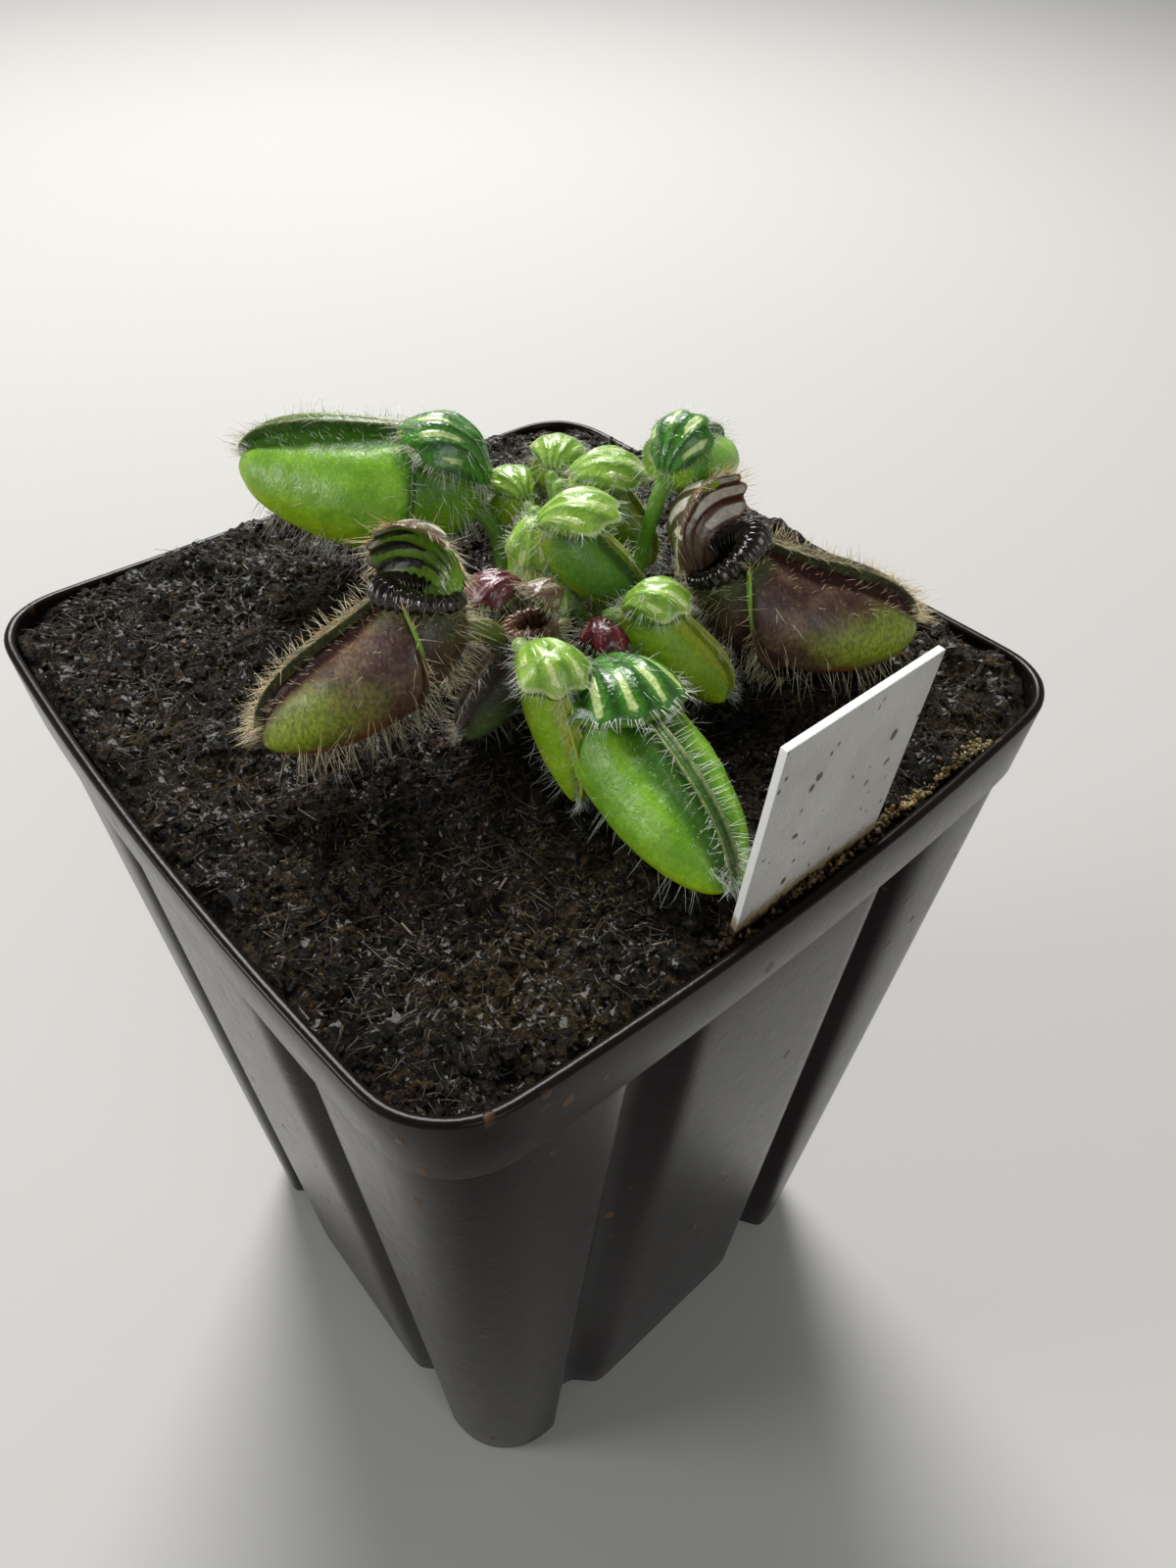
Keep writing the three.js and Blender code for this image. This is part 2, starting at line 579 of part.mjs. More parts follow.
// The leaf stalk: from inside the pitcher's back, down behind it, and upright
// into the peat beside the crown.
function makeStalk(leaf, grow) {
  const frame = localFrame(leaf);
  const [distance, bearing, radius] = leaf.stalk;
  const foot = new THREE.Vector2(distance, 0)
    .rotateAround(new THREE.Vector2(), radians(bearing)).add(CROWN);
  const ground = soilHeight(foot.x, foot.y);
  const local = (x, z) => new THREE.Vector3(x * leaf.length, 0, z * leaf.length).applyMatrix4(frame);
  const inside = local(0.12, -0.12);
  const behind = local(-0.03, -0.14);
  const rise = (behind.z - ground) * 0.4;
  const bend = new THREE.Vector3(
    THREE.MathUtils.lerp(foot.x, behind.x, 0.4), THREE.MathUtils.lerp(foot.y, behind.y, 0.4),
    ground + rise);
  const path = new THREE.CatmullRomCurve3([
    inside, behind, bend,
    new THREE.Vector3(foot.x, foot.y, ground - 0.5),
    new THREE.Vector3(foot.x, foot.y, ground - STALK_DEPTH - grow),
  ], false, 'centripetal');
  const section = new THREE.Shape();
  section.absarc(0, 0, radius + grow, 0, 2 * Math.PI);
  return solid(new THREE.ExtrudeGeometry(section, {
    steps: leaf.big ? 9 : 6, curveSegments: 3, bevelEnabled: false,
    extrudePath: path,
  }));
}

function makePitcher(leaf, grow = 0) {
  const head = [makeBody(leaf, grow), makeLid(leaf, grow), makeFrontRidge(leaf, grow)];
  if (leaf.lid >= OPEN) head.push(makeCollar(leaf, grow));
  if (leaf.big) head.push(makeSideWing(leaf, 1, grow), makeSideWing(leaf, -1, grow));
  const frame = localFrame(leaf);
  return union(head).transform(frame.elements).add(makeStalk(leaf, grow));
}

function makeRhizome() {
  const stub = new THREE.LatheGeometry([
    new THREE.Vector2(0, -14), new THREE.Vector2(RHIZOME_RADIUS * 0.7, -12),
    new THREE.Vector2(RHIZOME_RADIUS, -4), new THREE.Vector2(RHIZOME_RADIUS * 0.8, 0),
    new THREE.Vector2(0, 1),
  ], 12);
  stub.rotateX(Math.PI / 2);
  stub.translate(CROWN.x, CROWN.y, soilHeight(CROWN.x, CROWN.y));
  return solid(stub);
}

function makeRhizomeHole() {
  const hole = new THREE.CylinderGeometry(RHIZOME_RADIUS + GAP, RHIZOME_RADIUS + GAP, 18, 12);
  hole.rotateX(Math.PI / 2);
  hole.translate(CROWN.x, CROWN.y, soilHeight(CROWN.x, CROWN.y) + 9 - 14 - GAP);
  return solid(hole);
}

// ---------------------------------------------------------------- assembly

// The leaves are laid in order: where a later one would press into an earlier
// one, its side is dented to leave a gap.
function makeLeaves(blockers) {
  const taken = [...blockers];
  return LEAVES.map((leaf) => {
    leaf.profile = profileOf(leaf);
    const whole = taken.reduce((body, other) => body.subtract(other), makePitcher(leaf));
    taken.push(makePitcher(leaf, GAP));
    return { leaf, body: largestPiece(whole), room: taken[taken.length - 1] };
  });
}

const plant = new THREE.Group();
const labelRoom = makeLabel(GAP);
const leaves = makeLeaves([labelRoom]);
const soilWhole = [labelRoom, makeRhizomeHole(), ...leaves.map(({ room }) => room)]
  .reduce((soil, room) => soil.subtract(room), makeSoil());
const rhizome = leaves.reduce((stub, { room }) => stub.subtract(room), makeRhizome());

plant.add(node('pot', makePot(), 0x17181a, 0.35));
plant.add(node('soil', largestPiece(soilWhole), 0x1d1712, 0.9));
plant.add(node('label', makeLabel(), 0xc9c6c0, 0.6));
plant.add(node('rhizome', largestPiece(rhizome), 0x5b4632, 0.8));
leaves.forEach(({ leaf, body }) => plant.add(node(leaf.name, body, leaf.colour, 0.4)));

export default plant;
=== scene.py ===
# A potted pitcher plant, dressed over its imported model: a square black pot of wet peat,
# a rosette of hairy moccasin-shaped pitchers and a blank label.
import math

import bpy
import numpy as np
from mathutils import Matrix, Vector, noise


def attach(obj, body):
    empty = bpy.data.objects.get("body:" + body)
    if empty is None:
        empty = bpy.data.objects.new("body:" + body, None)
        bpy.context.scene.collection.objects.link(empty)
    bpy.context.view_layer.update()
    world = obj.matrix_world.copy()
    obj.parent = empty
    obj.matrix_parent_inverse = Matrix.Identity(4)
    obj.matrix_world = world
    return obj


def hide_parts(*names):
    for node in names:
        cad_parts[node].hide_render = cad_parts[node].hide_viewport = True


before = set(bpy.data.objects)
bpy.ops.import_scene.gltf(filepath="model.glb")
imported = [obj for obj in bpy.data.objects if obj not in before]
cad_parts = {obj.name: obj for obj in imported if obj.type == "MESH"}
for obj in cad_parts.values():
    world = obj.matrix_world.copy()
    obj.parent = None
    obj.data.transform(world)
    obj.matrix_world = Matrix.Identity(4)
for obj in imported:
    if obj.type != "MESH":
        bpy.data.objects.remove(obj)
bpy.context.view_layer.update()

MM = 0.001
TAU = 2 * math.pi
rng = np.random.default_rng(11)

# ------------------------------------------------------------ sizes, in mm

POT_HEIGHT = 130.0
RIM_SIDE = 90.0
BASE_SIDE = 78.0
WALL = 1.2
RIM_CORNER = 9.0
BASE_CORNER = 11.5
BAND_HEIGHT = 10.5
BAND_PROUD = 0.7
SIDE_BOW = 1.8
RIM_SAG = 1.2
FOOT_ROUND = 1.4
CHANNEL_DEPTH = 4.0
CHANNEL_TOP = (14.0, 22.0)
CHANNEL_BASE = (16.5, 25.3)
DRAIN_RADIUS = 4.0
DRAIN_FROM_CENTRE = 24.0
DRAIN_TURN = 0.11
GAP = 0.35             # between the pot and what fills it
SOIL_DROP = 1.2
SOIL_SLOPE = 2.2
SOIL_ROUGH = 0.55
LABEL_WIDTH = 20.3
LABEL_LENGTH = 100.0
LABEL_THICK = 0.8
LABEL_ABOVE_RIM = 21.3
LABEL_POINT = 12.0
LABEL_PLACE = (43.9, -0.4)
LABEL_LEAN = 3.5
CROWN = (3.5, 5.5)
RHIZOME_RADIUS = 2.6
STALK_DEPTH = 7.0

# Shares of a pitcher's length, as in the part's source.
TOE_REACH = 0.965
ROOF = 0.14
RIM_TUBE = 0.045
LIP = 0.35
LID_LENGTH = 0.47
LID_HALF = 0.225
LID_DOME = 0.16
SHUT_DOME = 0.13
OPEN = 20
STRAP_FLARE = 0.9

# Shares by kind: across the mouth, half the neck, further swell of the flanks, depth of
# the belly, drop of the toe, size of the lid and width of the strap down the front.
SHARES = ("gape", "neck", "swell", "depth", "drop", "hood", "strap")
KINDS = {
    "closed": (0.34, 0.155, 0.115, 0.9, 0.27, 1, 1),
    "open": (0.29, 0.145, 0.125, 1, 0.27, 0.9, 1.2),
    "young": (0.34, 0.15, 0.12, 0.8, 0.27, 1.15, 0.85),
    "bud": (0.36, 0.19, 0.08, 0.95, 0.27, 1.3, 0.8),
}


def pitcher(name, kind, dress, hinge, azimuth, pitch, length, mouth, stalk, **rest):
    """One leaf. hinge is its lid's hinge, z above the rim; stalk is its distance from
    the crown, bearing and radius. The rest is as in the part's source."""
    usual = {"arch": 0.04, "plump": 1.0, "bank": 0, "lid": 0, "roll": 0, **dict(zip(SHARES, KINDS[kind]))}
    return {**usual, "name": name, "dress": dress, "hinge": hinge, "azimuth": azimuth, "pitch": pitch,
            "length": length, "mouth": mouth, "stalk": stalk, **rest}


LEAVES = [
    pitcher("pitcher_green_back", "closed", "green", (-12.7, 5.2, 13.9), 216.6, 7, 30.5, 22, (7.5, 195, 1.1),
            arch=0.06, bank=8, drop=0.13, depth=0.88, hood=0.82),
    pitcher("pitcher_dark_left", "open", "dark_left", (8.2, -13.6, 16.6), 242, -17, 23.9, 27, (7.5, 285, 1.1),
            arch=0, bank=20, lid=26, roll=52, depth=0.86, hood=0.84),
    pitcher("pitcher_dark_right", "open", "dark_right", (13.8, 13.1, 10.9), 55, 2, 26.5, 32, (7.5, 35, 1.1),
            arch=-0.02, bank=-14, lid=36, roll=-46),
    pitcher("pitcher_green_front", "closed", "green", (16.5, -3.8, 7.2), -11.5, 2, 26.5, 14, (7.5, 330, 1.1),
            arch=0.03, plump=0.94, strap=0.6, depth=0.78, hood=1.02),
    pitcher("bud_tall", "bud", "tall_bud", (8.8, 12.7, 21.8), 105, 4, 13, 34, (4.7, 62, 0.85),
            arch=0.08, plump=1.35, hood=1.15),
    pitcher("bud_back", "bud", "young", (-7.2, 10.9, 16.4), 131, -25, 10.5, 30, (4.7, 125, 0.75),
            arch=0.05, plump=1.15),
    pitcher("bud_pale", "bud", "young", (-8.1, 7.4, 13.4), 168, -25, 10.5, 30, (4.7, 158, 0.75),
            arch=0.05, plump=1.05),
    pitcher("pitcher_young_back", "young", "young", (-4.1, 11.6, 16.4), 63, -40, 16.5, 24, (4.7, 92, 0.8),
            plump=0.9, lid=12),
    pitcher("pitcher_young_middle", "young", "middle", (0.9, 2.6, 16.1), 50, -31, 16.3, 24, (4.7, 20, 0.8),
            plump=0.82, lid=14),
    pitcher("pitcher_young_upright", "young", "young", (-1.2, 3.2, 15), -42, -68, 13.5, 24, (4.7, 190, 0.75),
            plump=0.82, hood=0.95),
    pitcher("pitcher_young_right", "young", "young", (13.4, 3.6, 11.6), 40, -28, 16, 24, (4.7, 350, 0.8),
            plump=0.78, lid=10, hood=0.95),
    pitcher("pitcher_young_front", "young", "young", (14.7, -10.3, 13.2), -6, -43, 16.2, 24, (4.7, 306, 0.8),
            plump=0.55, lid=12, hood=1, depth=0.66),
    pitcher("pitcher_red", "bud", "red", (10.4, 3, 8.6), -31, -31, 10, 24, (4.7, 328, 0.75)),
    pitcher("pitcher_dusky_left", "young", "dusky", (4.2, -3.4, 12.3), 255, -40, 13.5, 24, (4.7, 235, 0.75),
            plump=0.8, lid=8, hood=0.95),
    pitcher("pitcher_dusky_front", "young", "dusky_front", (10.4, -4, 11.6), 264, -29, 15.5, 24,
            (4.7, 268, 0.75), plump=0.8, lid=62, hood=0.62),
    pitcher("pitcher_sprout", "bud", "young", (3.6, 3.2, 8.4), -72, -40, 7, 24, (3.9, 212, 0.6),
            plump=0.95, lid=6),
]


# ------------------------------------------------------------ camera, floor, lights

CAMERA_PLACE = Vector((78.32, -61.16, 203.25)) * MM
CAMERA_TARGET = Vector((22.4, -9.2, 130.0)) * MM
CAMERA_ROLL = math.radians(2.21)
CAMERA_LENS = 32.11     # on a sensor 36 mm wide


def aim_camera():
    roll = CAMERA_ROLL
    ahead = (CAMERA_TARGET - CAMERA_PLACE).normalized()
    across = ahead.cross(Vector((0, 0, 1))).normalized()
    up = across.cross(ahead)
    right = across * math.cos(roll) + up * math.sin(roll)
    top = up * math.cos(roll) - across * math.sin(roll)
    camera_data = bpy.data.cameras.new("camera")
    camera_data.sensor_fit = 'HORIZONTAL'
    camera_data.sensor_width = 36
    camera_data.lens = CAMERA_LENS
    camera_data.clip_start = 0.002
    camera = bpy.data.objects.new("camera", camera_data)
    bpy.context.scene.collection.objects.link(camera)
    turn = Matrix((right, top, -ahead)).transposed().to_4x4()
    camera.matrix_world = Matrix.Translation(CAMERA_PLACE) @ turn
    bpy.context.scene.camera = camera


PLANT_MIDDLE = (0, 0, 0.11)


def area_light(name, place, size, power, colour=(1, 1, 1), target=PLANT_MIDDLE):
    data = bpy.data.lights.new(name, 'AREA')
    data.shape = 'DISK'
    data.size = size
    data.energy = power
    data.color = colour
    lamp = bpy.data.objects.new(name, data)
    bpy.context.scene.collection.objects.link(lamp)
    lamp.location = place
    lamp.rotation_euler = (Vector(target) - Vector(place)).to_track_quat('-Z', 'Y').to_euler()


def studio_walls():
    """A pale surround, bright round the floor and dimmer overhead."""
    world = bpy.data.worlds.new("studio")
    bpy.context.scene.world = world
    world.use_nodes = True
    nodes, links = world.node_tree.nodes, world.node_tree.links
    walls = nodes["Background"].inputs
    walls["Color"].default_value = (0.95, 0.95, 0.93, 1)
    height = nodes.new("ShaderNodeSeparateXYZ")
    fade = nodes.new("ShaderNodeMapRange")
    for key, limit in (("From Min", 0.05), ("From Max", 0.55), ("To Min", 0.62), ("To Max", 0.12)):
        fade.inputs[key].default_value = limit
    links.new(nodes.new("ShaderNodeTexCoord").outputs["Generated"], height.inputs[0])
    links.new(height.outputs["Z"], fade.inputs["Value"])
    links.new(fade.outputs[0], walls["Strength"])


# ------------------------------------------------------------ materials

class Finish:
    """A material's node tree, built one node at a time."""

    def __init__(self, name, **sockets):
        self.material = bpy.data.materials.new(name)
        self.material.use_nodes = True
        self.tree = self.material.node_tree
        self.shader = self.tree.nodes["Principled BSDF"]
        for socket, value in sockets.items():
            self.shader.inputs[socket.replace("_", " ")].default_value = value

    def node(self, kind, **settings):
        made = self.tree.nodes.new("ShaderNode" + kind)
        for key, value in settings.items():
            setattr(made, key, value)
        return made

    def put(self, socket, value):
        if isinstance(value, bpy.types.NodeSocket):
            self.tree.links.new(value, socket)
        elif value is not None:
            socket.default_value = value

    def math(self, operation, a, b=None, clamp=False):
        made = self.node("Math", operation=operation, use_clamp=clamp)
        self.put(made.inputs[0], a)
        if b is not None:
            self.put(made.inputs[1], b)
        return made.outputs[0]

    def plus(self, a, b, clamp=False):
        return self.math('ADD', a, b, clamp)

    def minus(self, a, b):
        return self.math('SUBTRACT', a, b)

    def times(self, a, b):
        return self.math('MULTIPLY', a, b)

    def place(self):
        return self.node("TexCoord").outputs["Object"]

    def parts(self, vector):
        made = self.node("SeparateXYZ")
        self.put(made.inputs[0], vector)
        return made.outputs

    def attribute(self, name):
        return self.node("Attribute", attribute_name=name).outputs["Fac"]

    def pattern(self, kind, scale, stretch=None, **settings):
        """A texture on the object's own coordinates."""
        made = self.node("Tex" + kind, **settings)
        made.inputs["Scale"].default_value = scale
        source = self.place()
        if stretch is not None:
            mapping = self.node("Mapping")
            mapping.inputs["Scale"].default_value = stretch
            self.put(mapping.inputs["Vector"], source)
            source = mapping.outputs[0]
        self.put(made.inputs["Vector"], source)
        return made

    def noise(self, scale, detail=3.0, rough=0.55, stretch=None):
        made = self.pattern("Noise", scale, stretch)
        made.inputs["Detail"].default_value = detail
        made.inputs["Roughness"].default_value = rough
        return made.outputs["Fac"]

    def cells(self, scale, stretch=None):
        return self.pattern("Voronoi", scale, stretch).outputs["Distance"]

    def ramp(self, value, low, high, start=0.0, end=1.0):
        made = self.node("MapRange", interpolation_type='SMOOTHSTEP')
        self.put(made.inputs["Value"], value)
        for key, limit in (("From Min", low), ("From Max", high), ("To Min", start), ("To Max", end)):
            made.inputs[key].default_value = limit
        return made.outputs[0]

    def mix(self, share, a, b):
        made = self.node("Mix", data_type='RGBA')
        self.put(made.inputs[0], share)
        for socket, value in ((made.inputs[6], a), (made.inputs[7], b)):
            self.put(socket, (*value, 1.0) if isinstance(value, tuple) else value)
        return made.outputs[2]

    def colour(self, value):
        self.put(self.shader.inputs["Base Color"], value)

    def rough(self, value):
        self.put(self.shader.inputs["Roughness"], value)

    def bump(self, height, depth, strength):
        made = self.node("Bump")
        made.inputs["Strength"].default_value = strength
        made.inputs["Distance"].default_value = depth
        self.put(made.inputs["Height"], height)
        self.put(self.shader.inputs["Normal"], made.outputs[0])


def shade(colour, share):
    return tuple(c * share for c in colour)


def pot_plastic():
    f = Finish("pot black plastic", Specular_IOR_Level=0.13)
    streaks = f.noise(60, 6, 0.6, stretch=(1, 1, 0.25))
    base = f.mix(f.ramp(streaks, 0.4, 0.75), (0.007, 0.005, 0.0045), (0.012, 0.008, 0.007))
    specks = f.ramp(f.cells(300, stretch=(1, 1, 0.6)), 0.20, 0.13)
    few = f.ramp(f.noise(60, 3), 0.54, 0.62)
    dirt = f.times(specks, few)
    smear = f.ramp(f.noise(70, 9, 0.75), 0.60, 0.72, 0, 0.3)
    base = f.mix(smear, base, (0.030, 0.024, 0.018))
    base = f.mix(dirt, base, (0.10, 0.05, 0.022))
    dust = f.times(f.ramp(f.cells(900), 0.10, 0.05), f.ramp(f.noise(70, 3), 0.50, 0.60))
    f.colour(f.mix(dust, base, (0.12, 0.075, 0.045)))
    gloss = f.ramp(f.noise(500, 5, 0.65), 0.3, 0.75, 0.20, 0.26)
    f.rough(f.plus(gloss, f.times(f.plus(dirt, smear), 0.25), clamp=True))
    fine = f.plus(f.noise(900, 3), f.times(dirt, 2.0))
    f.bump(fine, 0.00006, 0.6)
    return f.material


def peat(name, light=1.0):
    f = Finish(name, Specular_IOR_Level=0.21, Coat_Weight=0.13, Coat_Roughness=0.10)
    black, brown = shade((0.0020, 0.0015, 0.0010), light), shade((0.024, 0.014, 0.005), light)
    tone = f.mix(f.ramp(f.noise(420, 8, 0.7), 0.42, 0.62), black, brown)
    olive = f.ramp(f.noise(48, 5, 0.6), 0.46, 0.62, 0, 0.7)
    tone = f.mix(olive, tone, shade((0.040, 0.030, 0.004), light))
    rusty = f.ramp(f.noise(800, 4, 0.6), 0.54, 0.62, 0, 0.8)
    tone = f.mix(rusty, tone, shade((0.095, 0.053, 0.018), light))
    pale = f.ramp(f.noise(2100, 3, 0.7, stretch=(1, 0.55, 1)), 0.55, 0.64, 0, 0.8)
    tone = f.mix(pale, tone, shade((0.13, 0.088, 0.038), light))
    # painted glints: tiny bright flecks in the peat's colour stand for wet highlights
    painted_glints = f.ramp(f.noise(3000, 2, 0.6), 0.64, 0.70, 0, 0.8)
    tone = f.mix(painted_glints, tone, (0.38, 0.31, 0.19))
    drier = f.ramp(f.noise(70, 5, 0.6), 0.38, 0.56, 0.3, 1.0)
    tone = f.mix(drier, (0.0012, 0.0010, 0.0008), tone)
    # painted shade: near-black specks stand for the shaded gaps between grains
    painted_shade_pits = f.ramp(f.noise(1300, 4, 0.7), 0.51, 0.44)
    f.colour(f.mix(painted_shade_pits, tone, (0.0005, 0.0004, 0.0003)))
    f.rough(f.ramp(f.noise(900, 5, 0.7), 0.40, 0.60, 0.13, 0.8))
    f.bump(f.plus(f.noise(1500, 6, 0.75), f.times(f.noise(520, 5, 0.6), 1.6)), 0.0012, 1.0)
    return f.material


def fibre_finish(name, low, high):
    f = Finish(name, Specular_IOR_Level=0.5)
    f.colour(f.mix(f.ramp(f.noise(130, 4), 0.35, 0.68), low, high))
    f.rough(f.ramp(f.noise(600, 3), 0.3, 0.7, 0.3, 0.65))
    f.bump(f.noise(2600, 3), 0.00005, 0.6)
    return f.material


# Heights on the label, in metres: the stain starts, the mud starts, the mud covers all.
STAIN_TOP, MUD_TOP, MUD_FULL = 0.1330, 0.1316, 0.1304


def label_plastic():
    f = Finish("label matt plastic", Specular_IOR_Level=0.3)
    base = f.mix(f.ramp(f.noise(90, 5), 0.35, 0.7), (0.42, 0.41, 0.385), (0.50, 0.49, 0.465))
    for scale, size, gate in ((420, 0.24, 260), (800, 0.20, 330)):
        specks = f.times(f.ramp(f.cells(scale, stretch=(1, 1, 0.7)), size, size - 0.08),
                         f.ramp(f.noise(gate, 2), 0.52, 0.58))
        base = f.mix(specks, base, (0.10, 0.06, 0.035))
    # painted highlight: faces turned up or towards -y are mixed towards near white, as lit edges
    facing = f.parts(f.node("NewGeometry").outputs["Normal"])
    edge = f.ramp(f.math('MAXIMUM', facing["Z"], f.times(facing["Y"], -1.0)), 0.55, 0.8)
    base = f.mix(edge, base, (0.90, 0.90, 0.88))
    height = f.plus(f.parts(f.place())["Z"], f.times(f.noise(420, 6, 0.75), 0.005))
    base = f.mix(f.ramp(height, STAIN_TOP, MUD_TOP, 0, 0.85), base, (0.24, 0.17, 0.055))
    f.colour(f.mix(f.ramp(height, MUD_TOP, MUD_FULL), base, (0.022, 0.015, 0.008)))
    f.rough(f.ramp(f.noise(400, 3), 0.3, 0.7, 0.45, 0.65))
    ribs = f.pattern("Wave", 700, wave_type='BANDS', bands_direction='Y')
    ribs.inputs["Distortion"].default_value = 0.4
    f.bump(f.plus(ribs.outputs["Fac"], f.times(f.noise(1500, 3), 0.5)), 0.00012, 0.8)
    return f.material


# The bright patch on a toe: its middle along the pitcher, and its length and depth.
PATCH_AT, PATCH_LONG, PATCH_DEEP = 0.76, 0.34, 0.80


def leaf_skin(name, main, bright, belly, ridge, patch=None, shine=0.4, neck=None, stain=None, grain=0.25):
    """Skin coloured by where it is: along runs mouth to toe, around belly to ridge, and
    lobe is 1 in front of the flank's wing. patch is the toe's bright patch, neck the
    colour under the mouth, stain that of the edge below the patch."""
    f = Finish(name, Specular_IOR_Level=0.4, Subsurface_Weight=0.1, Subsurface_Scale=0.001,
               Subsurface_Radius=(0.6, 0.9, 0.3))
    along, around = f.attribute("along"), f.attribute("around")
    wobble = f.times(f.minus(f.noise(150, 5, 0.6), 0.5), 1.3)
    tone = f.mix(f.ramp(f.noise(210, 5, 0.65), 0.38, 0.64), main, bright)
    low = f.plus(around, wobble)
    if neck is not None:
        tone = f.mix(f.ramp(f.plus(along, f.times(wobble, 0.3)), 0.20, 0.03), tone, neck)
    if stain is None:
        tone = f.mix(f.ramp(f.minus(f.times(along, 1.1), low), 0.35, 1.6), tone, belly)
    if patch is not None:
        across = f.math('DIVIDE', f.minus(along, PATCH_AT), PATCH_LONG)
        down = f.math('DIVIDE', around, PATCH_DEEP)
        away = f.math('SQRT', f.plus(f.times(across, across), f.times(down, down)))
        tone = f.mix(f.ramp(f.plus(away, wobble), 1.25, 0.35), tone, patch)
    if stain is not None:
        front = f.ramp(along, 0.35, 0.60)
        tone = f.mix(f.times(f.ramp(low, -0.45, -0.80), front), tone, stain)
        tone = f.mix(f.times(f.ramp(low, -0.78, -1.02), front), tone, belly)
        tone = f.mix(f.times(f.ramp(around, 0.55, 0.86), f.ramp(along, 0.35, 0.95)), tone, ridge)
    # painted shade: the skin behind the wing is darkened towards a dimmer copy of the main colour
    behind = f.ramp(f.attribute("lobe"), 0.9, 0.1, 0, 0.45)
    tone = f.mix(behind, tone, shade(main, 0.6))
    tone = f.mix(f.ramp(around, 0.72, 0.95), tone, ridge)
    pores = f.ramp(f.noise(2300, 3, 0.7, stretch=(1, 1, 0.6)), 0.40, 0.62, 0, grain)
    tone = f.mix(pores, tone, shade(main, 0.35))
    # painted highlight: sparse specks brightened well past the bright colour stand for glints; grain sets
    # both the pores above and these
    glint = f.ramp(f.noise(1700, 2), 0.60, 0.70, 0, grain * 0.6)
    f.colour(f.mix(glint, tone, tuple(min(1.0, c + 0.02) for c in shade(bright, 2.2))))
    f.rough(f.ramp(f.noise(900, 3), 0.3, 0.7, shine - 0.07, shine + 0.12))
    f.bump(f.plus(f.noise(2400, 3), f.times(f.noise(420, 4), 1.4)), 0.00010, 0.8)
    return f.material


def lid_skin(name, rib, between, window, margin, width=0.19, start=0.24, stop=0.88, shine=0.16, throat=None):
    """A lid: fan counts the ribs across it, reach runs from the hinge to the margin.
    throat colours the part nearest the hinge, with the ribs as streaks on it."""
    f = Finish(name, Specular_IOR_Level=0.5, Coat_Weight=0.3, Coat_Roughness=0.1)
    fan = f.attribute("fan")
    reach = f.attribute("reach")
    bend = f.times(f.minus(f.noise(300, 4), 0.5), 0.35)
    centre = f.math('ABSOLUTE', f.minus(f.math('FRACT', f.plus(fan, 20.5)), 0.5))
    off = f.plus(f.minus(0.5, centre), bend)
    stripe = f.ramp(off, width, width - 0.09)
    wander = f.times(f.minus(f.noise(260, 3), 0.5), 0.9)
    extent = f.plus(reach, wander)
    span = f.times(f.ramp(extent, start, start + 0.10), f.ramp(extent, stop, stop - 0.07))
    pane = f.times(stripe, span)
    tone = f.mix(f.ramp(off, 0.5, 0.18), rib, between)
    if throat is not None:
        far_out = f.ramp(extent, 0.15, 0.75, 0, 0.30)
        streak = f.ramp(f.plus(off, far_out), 0.40, 0.50)
        streak = f.times(streak, f.ramp(extent, 0.16, 0.34))
        tone = f.mix(f.ramp(extent, stop, stop - 0.5), tone, f.mix(streak, throat, rib))
    tone = f.mix(pane, tone, window)
    tone = f.mix(f.ramp(reach, 0.93, 0.985), tone, margin)
    mottle = f.ramp(f.noise(1500, 3, 0.6), 0.42, 0.62, 0, 0.25)
    f.colour(f.mix(mottle, tone, shade(rib, 0.5)))
    f.rough(f.ramp(f.noise(700, 3), 0.35, 0.65, shine, shine + 0.25))
    swells = f.times(f.noise(560, 3, 0.6), 2.2)
    f.bump(f.plus(f.plus(f.noise(1500, 3), swells), f.times(pane, 0.8)), 0.00016, 0.9)
    return f.material


def fading_wing():
    """Lime under the collar, brown further down."""
    f = Finish("lime wing", Roughness=0.4)
    lower = f.ramp(f.plus(f.attribute("along"), f.times(f.noise(400, 3), 0.08)), 0.17, 0.30)
    f.colour(f.mix(lower, (0.15, 0.33, 0.02), (0.075, 0.038, 0.020)))
    f.bump(f.noise(1500, 3), 0.0001, 0.8)
    return f.material


def plain_skin(name, low, high, shine, grain=1800, depth=0.00008, coat=0.0):
    f = Finish(name, Specular_IOR_Level=0.5, Coat_Weight=coat, Coat_Roughness=0.08)
    f.colour(f.mix(f.ramp(f.noise(380, 4), 0.35, 0.68), low, high))
    f.rough(f.ramp(f.noise(700, 3), 0.3, 0.7, shine, shine + 0.12))
    f.bump(f.noise(grain, 4), depth, 0.8)
    return f.material


def hair_finish(name, colour):
    f = Finish(name, Specular_IOR_Level=0.5, Roughness=0.45, Subsurface_Weight=0.3,
               Subsurface_Scale=0.0005)
    f.colour(f.mix(f.ramp(f.noise(260, 2), 0.35, 0.68), colour, shade(colour, 0.6)))
    return f.material


def pale_floor():
    f = Finish("pale floor", Roughness=0.9, Specular_IOR_Level=0.1)
    f.colour(f.mix(f.noise(2, 2), (0.465, 0.46, 0.445), (0.48, 0.475, 0.46)))
    return f.material


# ------------------------------------------------------------ mesh helpers

def points_of(mesh):
    flat = np.empty(3 * len(mesh.vertices))
    mesh.vertices.foreach_get("co", flat)
    return flat.reshape(-1, 3)


def put_points(mesh, points):
    mesh.vertices.foreach_set("co", (np.asarray(points) * MM).ravel())
    mesh.update()


def clear():
    bpy.ops.object.select_all(action='DESELECT')


def mode(kind):
    bpy.ops.object.mode_set(mode=kind)


